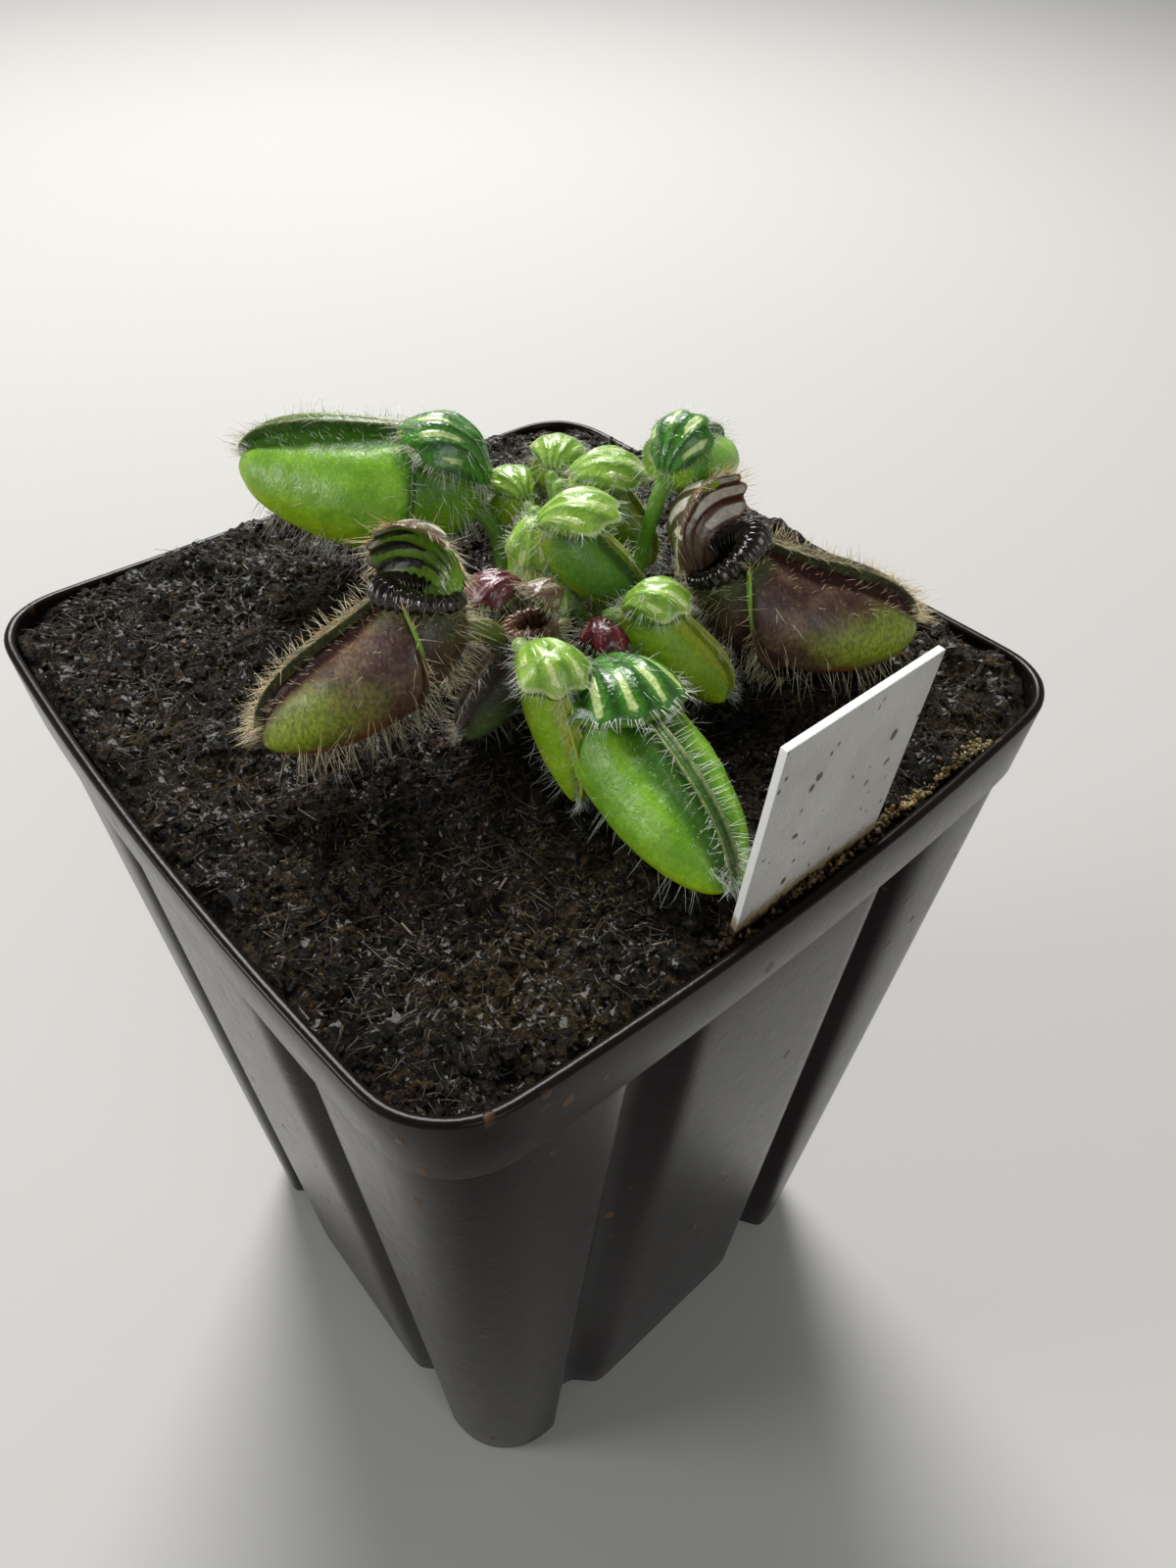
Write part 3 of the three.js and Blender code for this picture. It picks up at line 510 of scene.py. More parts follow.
def only(piece):
    clear()
    piece.select_set(True)
    bpy.context.view_layer.objects.active = piece


def finish_with(piece, kind, **settings):
    """Adds a modifier and applies it."""
    made = piece.modifiers.new(kind.lower(), kind)
    for key, value in settings.items():
        setattr(made, key, value)
    only(piece)
    bpy.ops.object.modifier_apply(modifier=made.name)


SEAM = 2e-6     # points closer than this, in metres, are one


def close_seams(piece):
    only(piece)
    mode('EDIT')
    bpy.ops.mesh.select_all(action='SELECT')
    bpy.ops.mesh.remove_doubles(threshold=SEAM)
    bpy.ops.mesh.normals_make_consistent(inside=False)
    mode('OBJECT')


def sheet(name, columns, rows, place, finishes, marks=None, split=None):
    """A grid bent into a closed skin. place(u, v) gives its points in mm, marks its
    attributes, and split(v) which of the finishes a face has."""
    clear()
    bpy.ops.mesh.primitive_grid_add(x_subdivisions=columns, y_subdivisions=rows, size=2)
    piece = bpy.context.object
    piece.name = name
    mesh = piece.data
    flat = points_of(mesh)
    u, v = (flat[:, 0] + 1) / 2, (flat[:, 1] + 1) / 2
    for finish in finishes:
        mesh.materials.append(finish)
    if split is not None:
        starts = np.empty(len(mesh.loops), dtype=int)
        mesh.loops.foreach_get("vertex_index", starts)
        middle = v[starts].reshape(-1, 4).mean(axis=1)
        mesh.polygons.foreach_set("material_index", split(middle).astype(int))
    for key, values in (marks(u, v) if marks else {}).items():
        layer = mesh.attributes.new(key, 'FLOAT', 'POINT')
        layer.data.foreach_set("value", np.broadcast_to(values, u.shape).astype(np.float32))
    put_points(mesh, place(u, v))
    close_seams(piece)
    bpy.ops.object.shade_smooth()
    return piece


def from_points(name, points, faces, finish):
    """A new piece of many loose copies, its points in mm."""
    mesh = bpy.data.meshes.new(name)
    mesh.from_pydata((points * MM).tolist(), [], faces)
    mesh.materials.append(finish)
    piece = bpy.data.objects.new(name, mesh)
    bpy.context.scene.collection.objects.link(piece)
    return piece


def template(piece):
    """The points and faces of a piece, which is then taken away."""
    points, faces = points_of(piece.data), [tuple(face.vertices) for face in piece.data.polygons]
    bpy.data.objects.remove(piece, do_unlink=True)
    return points, faces


def join(pieces, name):
    only(pieces[0])
    for piece in pieces[1:]:
        piece.select_set(True)
    if len(pieces) > 1:
        bpy.ops.object.join()
    joined = bpy.context.object
    joined.name = name
    joined.data.name = name
    return joined


def settle(piece, slot, *nodes):
    """Puts the object's place into its mesh, hangs it from the root, and hides the imported parts that it
    replaces.
    """
    only(piece)
    bpy.ops.object.transform_apply(location=True, rotation=True, scale=True)
    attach(piece, "root")
    if nodes:
        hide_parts(*nodes)


def unit(vectors):
    return vectors / np.maximum(np.linalg.norm(vectors, axis=-1, keepdims=True), 1e-9)


def soft_noise(points, scale, seed=0.0):
    return np.array([noise.noise(Vector((x * scale + seed, y * scale, z * scale))) for x, y, z in points])


# ------------------------------------------------------------ hairs

def strand_template():
    """One three-sided strand, a unit high, cut into four lengths."""
    clear()
    bpy.ops.mesh.primitive_cylinder_add(vertices=3, radius=1, depth=1, location=(0, 0, 0.5),
                                        end_fill_type='TRIFAN')
    piece = bpy.context.object
    mode('EDIT')
    for height in (0.28, 0.55, 0.8):
        bpy.ops.mesh.select_all(action='SELECT')
        bpy.ops.mesh.bisect(plane_co=(0, 0, height), plane_no=(0, 0, 1))
    mode('OBJECT')
    points, faces = template(piece)
    return points + np.array((0, 0, 0.5)), faces


STRAND, STRAND_FACES = strand_template()


def strands(name, roots, ways, lengths, radius, bend, finish, tip=0.12):
    """Copies of the strand in one mesh. bend is how far each tip is carried aside."""
    count = len(roots)
    ways = unit(ways)
    helper = np.where(np.abs(ways[:, 2:3]) < 0.9, (0.0, 0.0, 1.0), (1.0, 0.0, 0.0))
    side = unit(np.cross(ways, helper))
    other = np.cross(ways, side)
    height = STRAND[:, 2]
    taper = 1 - (1 - tip) * height
    lengths = np.broadcast_to(lengths, (count,))
    radius = np.broadcast_to(radius, (count,))
    spread = radius[:, None, None] * taper[None, :, None]
    points = (roots[:, None, :]
              + ways[:, None, :] * (lengths[:, None] * height[None, :])[:, :, None]
              + bend[:, None, :] * (height[None, :] ** 2)[:, :, None]
              + side[:, None, :] * spread * STRAND[None, :, 0:1]
              + other[:, None, :] * spread * STRAND[None, :, 1:2])
    step = len(STRAND)
    faces = [tuple(i + k * step for i in face) for k in range(count) for face in STRAND_FACES]
    piece = from_points(name, points.reshape(-1, 3), faces, finish)
    only(piece)
    bpy.ops.object.shade_smooth()
    return piece


# ------------------------------------------------------------ peat and pot

def soil_height(x, y):
    back = (y - x) / RIM_SIDE
    lumps = np.sin(x * 0.31 + 1.3) * np.cos(y * 0.27) \
        + 0.6 * np.sin(x * 0.55 - y * 0.47 + 2.1) + 0.4 * np.cos(x * 0.9 + y * 0.83)
    edge = np.maximum(np.abs(x), np.abs(y)) / (RIM_SIDE / 2)
    bank = 1.5 * np.maximum(0, back) * edge ** 6
    return POT_HEIGHT - SOIL_DROP + SOIL_SLOPE * back + bank + SOIL_ROUGH * lumps


def side_line(z, inset, band):
    """Half a side's outline: along it, and out from the axis. Straight runs between
    corners get a fixed number of points, so that every level has as many."""
    share = z / POT_HEIGHT
    half = (BASE_SIDE + (RIM_SIDE - BASE_SIDE) * share) / 2
    corner = BASE_CORNER + (RIM_CORNER - BASE_CORNER) * share
    inner = CHANNEL_BASE[0] + (CHANNEL_TOP[0] - CHANNEL_BASE[0]) * share
    outer = CHANNEL_BASE[1] + (CHANNEL_TOP[1] - CHANNEL_BASE[1]) * share
    bow = SIDE_BOW * share
    deep = 0.0 if band else CHANNEL_DEPTH
    width = outer - inner
    knots = [(0, 0), (inner - inset * 0.5, 0), (inner + width * 0.35, 0.9 * deep),
             (outer - width * 0.22, deep), (outer + inset * 0.8, 0), (half - corner, 0)]
    counts = (14, 8, 5, 7, 4)
    runs = [np.linspace(a, b, count, endpoint=False)
            for a, b, count in zip(knots[:-1], knots[1:], counts)]
    along, sunk = np.concatenate(runs + [knots[-1:]]).T
    along = np.concatenate([-along[:0:-1], along])
    sunk = np.concatenate([sunk[:0:-1], sunk])
    swell = bow * (1 - (along / half) ** 2)
    return along, half - inset - sunk + swell


CORNER_STEPS = 14


def pot_outline(z, inset, band):
    along, out = side_line(z, inset, band)
    end, reach = along[-1], out[-1] - along[-1]
    bends = np.arange(1, CORNER_STEPS) / CORNER_STEPS * math.pi / 2
    xs = np.concatenate([out, end + reach * np.cos(bends)])
    ys = np.concatenate([along, end + reach * np.sin(bends)])
    ring = []
    for quarter in range(4):
        c, s = round(math.cos(quarter * math.pi / 2)), round(math.sin(quarter * math.pi / 2))
        ring.append(np.stack([c * xs - s * ys, s * xs + c * ys], axis=1))
    ring = np.concatenate(ring)
    for _ in range(3):
        ring = 0.25 * np.roll(ring, 1, axis=0) + 0.5 * ring + 0.25 * np.roll(ring, -1, axis=0)
    return ring


def rim_dip(x, y):
    near = np.minimum(np.abs(x), np.abs(y)) / (RIM_SIDE / 2)
    return RIM_SAG * (1 - np.minimum(near, 1) ** 2)


def pot_levels():
    """The wall from the middle of the foot, up the outside and down the inside: each
    level's height, inset, whether it is in the band, and its share of the rim's dip."""
    foot = POT_HEIGHT - BAND_HEIGHT
    outer, inner = BAND_PROUD, BAND_PROUD + WALL
    ease = [(FOOT_ROUND * (1 - math.cos(a)), outer + FOOT_ROUND * (1 - math.sin(a)), False, 0)
            for a in np.linspace(0, math.pi / 2, 6)]
    sides = [(z, outer, False, 0) for z in np.linspace(FOOT_ROUND, foot - 0.5, 16)[1:]]
    shelf = [(foot - 0.15, outer + 0.03, False, 0), (foot, outer, False, 0),
             (foot + 0.12, outer - 0.2, True, 0), (foot + 0.35, 0.05, True, 0),
             (foot + 0.6, 0, True, 0), (foot + 5, 0, True, 0.5)]
    lip = [(POT_HEIGHT - 0.45 * (1 - math.sin(a)), WALL / 2 * (1 - math.cos(a)), True, 1)
           for a in np.linspace(0, math.pi, 9)]
    inside = [(foot + WALL + 0.6, WALL, True, 0), (foot + WALL, inner, False, 0),
              (foot / 2, inner, False, 0), (WALL + 1.0, inner + 0.1, False, 0), (WALL, inner + 0.6, False, 0)]
    return ease + sides + shelf + lip + inside


def make_pot(finish):
    rings = []
    for z, inset, band, dip in pot_levels():
        ring = pot_outline(min(z, POT_HEIGHT), inset, band)
        height = z - dip * rim_dip(ring[:, 0], ring[:, 1])
        rings.append(np.column_stack([ring, height]))
    columns = len(rings[0])
    first = np.zeros((columns, 3))
    last = np.tile((0, 0, WALL), (columns, 1))
    table = np.array([first] + rings + [last])
    rows = len(table) - 1

    def place(u, v):
        column = np.round(u * columns).astype(int) % columns
        row = np.round(v * rows).astype(int)
        return table[row, column]

    piece = sheet("pot_shell", columns, rows, place, [finish])
    clear()
    cutters = []
    for angle in np.radians((45, 135, 225, 315)):
        bpy.ops.mesh.primitive_cylinder_add(
            vertices=40, radius=DRAIN_RADIUS * MM, depth=4 * WALL * MM, rotation=(0, 0, DRAIN_TURN),
            location=(DRAIN_FROM_CENTRE * math.cos(angle) * MM, DRAIN_FROM_CENTRE * math.sin(angle) * MM, 0))
        cutters.append(bpy.context.object)
    cutter = join(cutters, "drain cutter")
    finish_with(piece, 'BOOLEAN', object=cutter, operation='DIFFERENCE', solver='EXACT')
    bpy.data.objects.remove(cutter, do_unlink=True)
    only(piece)
    bpy.ops.object.shade_smooth_by_angle(angle=math.radians(35))
    settle(piece, "pot_plastic", "pot")


def outline_reach(bearing, inset):
    """How far the rim's inner outline is from the axis, by bearing."""
    ring = pot_outline(POT_HEIGHT, inset, True)
    angles = np.arctan2(ring[:, 1], ring[:, 0])
    order = np.argsort(angles)
    return np.interp(bearing, angles[order], np.hypot(ring[order, 0], ring[order, 1]), period=TAU)


FAR_CORNER = 0.75 * math.pi     # bearing of the corner behind the plant


def peat_top(x, y):
    """The rough top of the peat, lower along the wall and hollow at the far corner."""
    points = np.column_stack([x, y, np.zeros_like(x)])
    rough = sum(height * soft_noise(points, scale, seed)
                for height, scale, seed in ((0.9, 0.22, 0), (0.7, 0.55, 7), (0.45, 1.3, 3), (0.25, 2.9, 9)))
    bearing = np.arctan2(y, x)
    share = np.hypot(x, y) / outline_reach(bearing, WALL + GAP)
    edge = 0.9 * np.clip((share - 0.93) / 0.07, 0, 1) ** 2
    hollow = np.exp(-((bearing - FAR_CORNER) / 0.24) ** 2) * np.clip((share - 0.74) / 0.16, 0, 1)
    return soil_height(x, y) + rough * (1 - 0.6 * hollow) - edge - 2.1 * hollow


# The peat's side, from its top edge down: each level's share of the one above it, and height.
PEAT_SIDE = ((0.995, 124.0), (0.84, 118.0), (0.70, 1.7))


def make_soil(finish):
    def place(u, v):
        a, b = 2 * u - 1, 2 * v - 1
        size = np.maximum(np.abs(a), np.abs(b))
        bearing = np.arctan2(b, a)
        reach = size * outline_reach(bearing, WALL + GAP)
        x, y = reach * np.cos(bearing), reach * np.sin(bearing)
        return np.column_stack([x, y, peat_top(x, y)])

    piece = sheet("soil_top", 250, 250, place, [finish])
    mesh = piece.data
    if mesh.polygons[0].normal.z < 0:
        mesh.flip_normals()
    only(piece)
    for level, (scale, height) in enumerate(PEAT_SIDE):
        mode('EDIT')
        bpy.ops.mesh.select_mode(type='EDGE')
        if level == 0:
            bpy.ops.mesh.select_all(action='DESELECT')
            bpy.ops.mesh.select_non_manifold(extend=False)
        bpy.ops.mesh.extrude_region_move()
        mode('OBJECT')
        points = points_of(mesh)
        picked = np.empty(len(mesh.vertices), dtype=bool)
        mesh.vertices.foreach_get("select", picked)
        points[picked, :2] *= scale
        points[picked, 2] = height * MM
        put_points(mesh, points / MM)
    mode('EDIT')
    bpy.ops.mesh.edge_face_add()
    mode('OBJECT')
    settle(piece, "peat", "soil")


def crumb_templates():
    """A few lumps, each a pulled-about icosphere."""
    lumps = []
    for seed in range(5):
        clear()
        bpy.ops.mesh.primitive_ico_sphere_add(subdivisions=1, radius=1)
        points, faces = template(bpy.context.object)
        pull = 1 + 0.55 * soft_noise(points, 1.3, 5.0 * seed)
        lumps.append((points * pull[:, None] * np.array((1.0, 0.75, 0.6)), faces))
    return lumps


CRUMBS = crumb_templates()


def crumbs_at(name, places, sizes, finish):
    """Crumbs at random turns, in one mesh."""
    points, faces, base = [], [], 0
    for k, (place, size) in enumerate(zip(places, sizes)):
        shape, shape_faces = CRUMBS[k % len(CRUMBS)]
        turn = Matrix.Rotation(rng.uniform(0, TAU), 3, 'Z') @ Matrix.Rotation(rng.uniform(-0.9, 0.9), 3, 'X')
        points.append(shape @ np.array(turn).T * size + place)
        faces += [tuple(i + base for i in face) for face in shape_faces]
        base += len(shape)
    return from_points(name, np.concatenate(points), faces, finish)


def on_soil(count, inset):
    """Random places on the peat."""
    rng.bit_generator.advance(2 * count)    # skips ahead in the random stream by 2 * count draws
    spots = rng.uniform(-1, 1, (count * 2, 2)) * RIM_SIDE / 2
    bearing = np.arctan2(spots[:, 1], spots[:, 0])
    keep = np.hypot(spots[:, 0], spots[:, 1]) < outline_reach(bearing, WALL + inset)
    spots = spots[keep][:count]
    return np.column_stack([spots, peat_top(spots[:, 0], spots[:, 1])])


def inside_rim(places, ways, lengths, inset):
    """Which strands end inside the rim."""
    tips = places + unit(ways) * lengths[:, None] * 1.3
    bearing = np.arctan2(tips[:, 1], tips[:, 0])
    return np.hypot(tips[:, 0], tips[:, 1]) < outline_reach(bearing, WALL + inset)


def make_litter(finish, fibre, chip):
    places = on_soil(8600, 1.2)
    sizes = np.minimum(rng.gamma(2.0, 0.14, len(places)) + 0.14, 1.3)
    places[:, 2] += sizes * 0.15
    settle(crumbs_at("soil_crumbs", places, sizes, finish), "peat")

    def scatter(name, count, low, high, thin, wide, lift, tip, made_of, curl):
        places = on_soil(count, 2.0)
        ways = rng.normal(size=(len(places), 3)) * np.array((1, 1, 0.16))
        lengths = rng.uniform(low, high, len(places))
        keep = inside_rim(places, ways, lengths, 0.5)
        places, ways, lengths = places[keep], ways[keep], lengths[keep]
        bend = rng.normal(size=ways.shape) * np.array((1, 1, 0.1)) * lengths[:, None] * curl
        places[:, 2] += lift
        radius = rng.uniform(thin, wide, len(places))
        settle(strands(name, places, ways, lengths, radius, bend, made_of, tip), "peat")

    scatter("soil_fibres", 6500, 0.6, 2.6, 0.035, 0.10, 0.25, 0.4, fibre, 0.3)
    scatter("soil_chips", 46, 0.8, 3.0, 0.07, 0.16, 0.35, 0.7, chip, 0.0)


CRUST_OUT = 44.4     # how far out the crust beside the label lies


def make_crust(finish):
    """Brown and yellow-green crumbs at the label's foot and along the rim beside it."""
    label_x, label_y = LABEL_PLACE
    count = 620
    y = rng.uniform(-14, 32, count)
    near = np.abs(y - label_y) < LABEL_WIDTH / 2
    x = np.where(near, label_x + rng.choice((-1, 1), count) * rng.uniform(0.5, 1.1, count),
                 CRUST_OUT - np.abs(rng.normal(0, 0.5, count)))
    keep = np.hypot(x, y) < outline_reach(np.arctan2(y, x), WALL + 0.25)
    x, y = x[keep], y[keep]
    sizes = rng.uniform(0.12, 0.45, len(x))
    climb = np.where(near[keep], 1.6, 0.6)
    places = np.column_stack([x, y, peat_top(x, y) + rng.uniform(0, 1, len(x)) ** 2 * climb])
    settle(crumbs_at("soil_crust", places, sizes, finish), "peat")


def make_label(finish):
    clear()
    bpy.ops.mesh.primitive_cube_add(size=1, location=(0, 0, 0))
    piece = bpy.context.object
    piece.name = "label_plate"
    mesh = piece.data
    foot = LABEL_ABOVE_RIM - LABEL_LENGTH
    points = points_of(mesh) * np.array((LABEL_THICK, LABEL_WIDTH, LABEL_LENGTH))
    points[:, 2] += foot + LABEL_LENGTH / 2
    put_points(mesh, points)
    mode('EDIT')
    for height in (foot + LABEL_POINT, -15, 0, 10):
        bpy.ops.mesh.select_all(action='SELECT')
        bpy.ops.mesh.bisect(plane_co=(0, 0, height * MM), plane_no=(0, 0, 1))
    mode('OBJECT')
    points = points_of(mesh) / MM
    points[points[:, 2] < foot + 1, 1] *= 4 / LABEL_WIDTH
    put_points(mesh, points)
    finish_with(piece, 'BEVEL', width=0.12 * MM, segments=2, limit_method='ANGLE')
    lean = np.array(Matrix.Rotation(math.radians(LABEL_LEAN), 3, 'Y'))
    put_points(mesh, points_of(mesh) / MM @ lean.T + np.array((*LABEL_PLACE, POT_HEIGHT)))
    mesh.materials.append(finish)
    settle(piece, "label_plastic", "label")


# ------------------------------------------------------------ pitchers

def bezier(knots, t):
    a, b, c, d = (np.array(knot) for knot in knots)
    t = np.asarray(t, dtype=float)[:, None]
    s = 1 - t
    return s ** 3 * a + 3 * s * s * t * b + 3 * s * t * t * c + t ** 3 * d


def prepare(leaf):
    """Works out a leaf's outline, from mouth to toe, and its place."""
    size, arch, depth = leaf["length"], leaf["arch"], leaf["depth"]
    tilt = math.radians(leaf["mouth"])
    gape = leaf["gape"] * size
    front = (gape * math.cos(tilt), gape * math.sin(tilt))
    toe = (TOE_REACH * size, -leaf["drop"] * size)
    leaf["front"], leaf["toe"] = np.array(front), np.array(toe)
    leaf["ridge"] = [front, (0.44 * size, (0.02 + arch) * size), (0.92 * size, arch * size), toe]
    leaf["belly"] = [(0, 0), (-0.1 * size, -0.42 * depth * size), (0.9 * size, -0.6 * depth * size), toe]
    leaf["big"] = size > 20
    leaf["shut"] = leaf["lid"] < OPEN
    leaf["turn"] = np.array(Matrix.Rotation(math.radians(leaf["azimuth"]), 3, 'Z')
                            @ Matrix.Rotation(-math.radians(leaf["pitch"]), 3, 'Y')
                            @ Matrix.Rotation(math.radians(leaf["bank"]), 3, 'X'))
    leaf["at"] = np.array(leaf["hinge"]) + np.array((0, 0, POT_HEIGHT))


def out_to(leaf, points):
    return points @ leaf["turn"].T + leaf["at"]


def half_width(leaf, t):
    swell = leaf["swell"] * np.sin(np.pi * np.maximum(t, 0) ** 0.8)
    return leaf["length"] * (leaf["neck"] + swell) * leaf["plump"] * np.sqrt(np.maximum(1 - t ** 3.5, 0))


def skin(leaf, t, angle, grow=0.0):
    """A point of the pitcher's skin, in the leaf's own frame."""
    ridge, belly = bezier(leaf["ridge"], t), bezier(leaf["belly"], t)
    middle = (ridge + belly) / 2
    up = ridge - belly
    half = np.linalg.norm(up, axis=1) / 2
    up = up / np.maximum(2 * half, 1e-6)[:, None]
    rise = np.sin(angle) * (half + grow)
    lean = 1 - ROOF * np.maximum(np.sin(angle), 0)
    wide = np.cos(angle) * (half_width(leaf, t) * lean + grow)
    return np.column_stack([middle[:, 0] + up[:, 0] * rise, wide, middle[:, 1] + up[:, 1] * rise])


def skin_normal(leaf, t, angle):
    step = 0.02
    along = skin(leaf, np.minimum(t + step, 0.99), angle) - skin(leaf, np.maximum(t - step, 0), angle)
    around = skin(leaf, t, angle + step) - skin(leaf, t, angle - step)
    normal = unit(np.cross(along, around))
    middle = (skin(leaf, t, 0 * angle) + skin(leaf, t, 0 * angle + np.pi)) / 2
    away = skin(leaf, t, angle) - middle
    flip = np.sum(normal * away, axis=1) < 0
    normal[flip] *= -1
    return normal


WING_TOP, WING_SWEEP = 26.0, 92.0      # degrees above the flank, and how far it runs down
WING_START, WING_REACH = 0.03, 0.42    # along the pitcher


def above_flank(angle):
    """How far round from the flank towards the front ridge, in radians."""
    return np.arcsin(np.clip(np.sin(angle), -1, 1))


def past_wing(t, angle):
    """How far a point of the flank lies in front of the wing."""
    share = np.clip((WING_TOP - np.degrees(above_flank(angle))) / WING_SWEEP, 0, 1)
    return t - (WING_START + WING_REACH * share)


CREASE_AT = math.radians(66)    # a furrow on each side of the ridge, above the flank


def make_body(leaf, outside, inside):
    """The pitcher's skin. The first rows of the grid are turned in at the mouth."""
    around, rows = (112, 100) if leaf["big"] else (56, 48)
    turn_in = 0.06 if leaf["shut"] else 0.28
    size = leaf["length"]

    def run(v):
        return np.clip((v - turn_in) / (1 - turn_in), 0, 1), np.clip((turn_in - v) / turn_in, 0, 1)

    def place(u, v):
        angle = u * TAU
        t, inner = run(v)
        if leaf["shut"]:
            points = skin(leaf, t, angle)
            centre = np.array((leaf["front"][0] / 2, 0, leaf["front"][1] / 2))
            points += (centre - points) * inner[:, None]
        else:
            grow = -0.9 * np.clip(inner * 6, 0, 1)
            points = skin(leaf, np.where(inner > 0, 0.5 * inner, t), angle, grow)
            close = np.clip((inner - 0.75) / 0.25, 0, 1)[:, None]
            bottom = skin(leaf, np.full(1, 0.5), np.zeros(1))[0] * np.array((1, 0, 1))
            points = points * (1 - close) + bottom * close
        outer = (inner <= 0) & (t > 0)
        crease = np.exp(-((above_flank(angle) - CREASE_AT) / 0.22) ** 2) * (np.sin(angle) > 0)
        fade = np.sin(np.pi * np.clip(t, 0, 1)) ** 0.6
        relief = -0.022 * size * crease
        if leaf["big"]:
            lead = past_wing(t, angle)
            flank = np.clip(1.5 * np.cos(angle) ** 2, 0, 1)
            step = np.clip(lead / 0.035, -1, 1)
            relief += flank * np.where(lead > 0, 0.55 * step * np.exp(-lead / 0.16),
                                       0.5 * step * np.exp(lead / 0.2))
        normal = skin_normal(leaf, np.clip(t, 0.01, 0.985), angle)
        lumps = 0.014 * size * soft_noise(points + leaf["at"], 0.14, 2.0) \
            + 0.004 * size * soft_noise(points + leaf["at"], 0.55, 4.0)
        points = points + normal * ((relief + lumps) * fade * outer)[:, None]
        return out_to(leaf, points)

    def marks(u, v):
        t, _ = run(v)
        lead = past_wing(t, u * TAU) if leaf["big"] else np.ones_like(u)
        return {"along": t, "around": np.sin(u * TAU), "lobe": np.clip(0.5 + lead / 0.05, 0, 1)}

    return sheet(leaf["name"] + " body", around, rows, place, [outside, inside], marks,
                 lambda v: v < turn_in * 0.93)


def ring_spots(u, v, count, steps):
    """Which point of its section and which step of its line a grid point is on, and
    whether it is at one of the closed ends."""
    column = np.round(u * count).astype(int) % count
    row = np.round(v * (steps + 2)).astype(int)
    return column, np.clip(row - 1, 0, steps), (row == 0) | (row == steps + 2)


def rib_on(leaf, name, path, section, steps, finish, flare=0.0, fall=0.0):
    """A narrow fin standing on the skin. section is [across, out] points round it."""
    section = np.array(section, dtype=float)
    count = len(section)
    share = np.linspace(0, 1, steps + 1)
    t, angle = path(share)
    at = skin(leaf, t, angle)
    out = skin_normal(leaf, t, angle)
    ahead = unit(np.gradient(at, axis=0))
    side = unit(np.cross(ahead, out))
    taper = np.sin(np.pi * (0.12 + 0.76 * share)) ** 0.5
    spread = taper * (1 + flare * (0.5 - share))

    def place(u, v):
        column, i, pole = ring_spots(u, v, count, steps)
        across, height = section[column].T
        height = np.where(height > 0, height * (taper * (1 - fall * share))[i], height)
        points = at[i] + side[i] * (across * spread[i])[:, None] + out[i] * height[:, None]
        points[pole] = (at[i] - 0.1 * out[i])[pole]
        return out_to(leaf, points)

    def marks(u, v):
        column, i, _ = ring_spots(u, v, count, steps)
        return {"along": t[i], "around": section[column, 1] / section[:, 1].max(), "lobe": 1.0}

    piece = sheet(name, count, steps + 2, place, [finish], marks)
    finish_with(piece, 'SUBSURF', levels=1, render_levels=1)
    return piece


def strap_path(share):
    return 0.03 + 0.93 * share, np.full_like(share, np.pi / 2)


def wing_path(side):
    def path(share):
        angle = np.radians(WING_TOP - WING_SWEEP * share)
        return WING_START + WING_REACH * share, angle if side > 0 else np.pi - angle
    return path


def strap_size(leaf):
    """Half its width, and how far it stands out."""
    size = leaf["length"] / 28
    return 1.25 * size * leaf["strap"], 1.2 * size


def make_strap(leaf, finish):
    """The double ridge down the front: a keel broader at its top, with a groove."""
    half, rise = strap_size(leaf)
    right = [(0.45 * half, -0.7), (0.62 * half, 0.2 * rise), (1.05 * half, 0.75 * rise), (1.05 * half, rise),
             (0.75 * half, 1.02 * rise), (0.45 * half, 0.72 * rise)]
    left = [(-across, out) for across, out in reversed(right)]
    section = left[-1:] + right + [(0, 0.62 * rise)] + left[:-1]
    return rib_on(leaf, leaf["name"] + " strap", strap_path, section, 36 if leaf["big"] else 18, finish,
                  0.0 if leaf["shut"] else STRAP_FLARE)


def make_wing(leaf, side, finish):
    rise = 1.5 * leaf["length"] / 28
    section = [(-0.35, -0.6), (0.35, -0.6), (0.24, 0.4 * rise), (0.16, rise), (0, 1.06 * rise), (-0.16, rise),
               (-0.24, 0.4 * rise)]
    return rib_on(leaf, leaf["name"] + " wing", wing_path(side), section, 24, finish, fall=0.55)


def make_collar(leaf, finish):
    """The ribbed roll round the mouth, with a tooth under every rib."""
    ribs = 26 if leaf["big"] else 16
    tube = RIM_TUBE * leaf["length"]
    tilt = math.radians(leaf["mouth"])
    up = np.array((-math.sin(tilt), 0, math.cos(tilt)))
    middle = np.array((leaf["front"][0] / 2, 0, leaf["front"][1] / 2))

    def place(u, v):
        angle, turn = u * TAU, v * TAU
        centre = skin(leaf, 0 * angle, angle)
        outward = unit(centre - middle)
        rib = 0.5 + 0.5 * np.cos(u * TAU * ribs)
        radius = tube * (0.86 + 0.26 * rib ** 0.7) * (1 + LIP * np.sin(angle))
        inner = np.exp(-((np.mod(turn, TAU) - 1.22 * np.pi) / 0.42) ** 2)
        radius = radius + inner * rib ** 3 * tube * 0.85
        flare = 1 + 0.25 * np.maximum(np.cos(turn), 0) * np.maximum(-np.sin(turn), 0)
        return out_to(leaf, centre + outward * (radius * flare * np.cos(turn))[:, None]
                      + up * (radius * np.sin(turn))[:, None])

    return sheet(leaf["name"] + " collar", ribs * 10, 24, place, [finish])


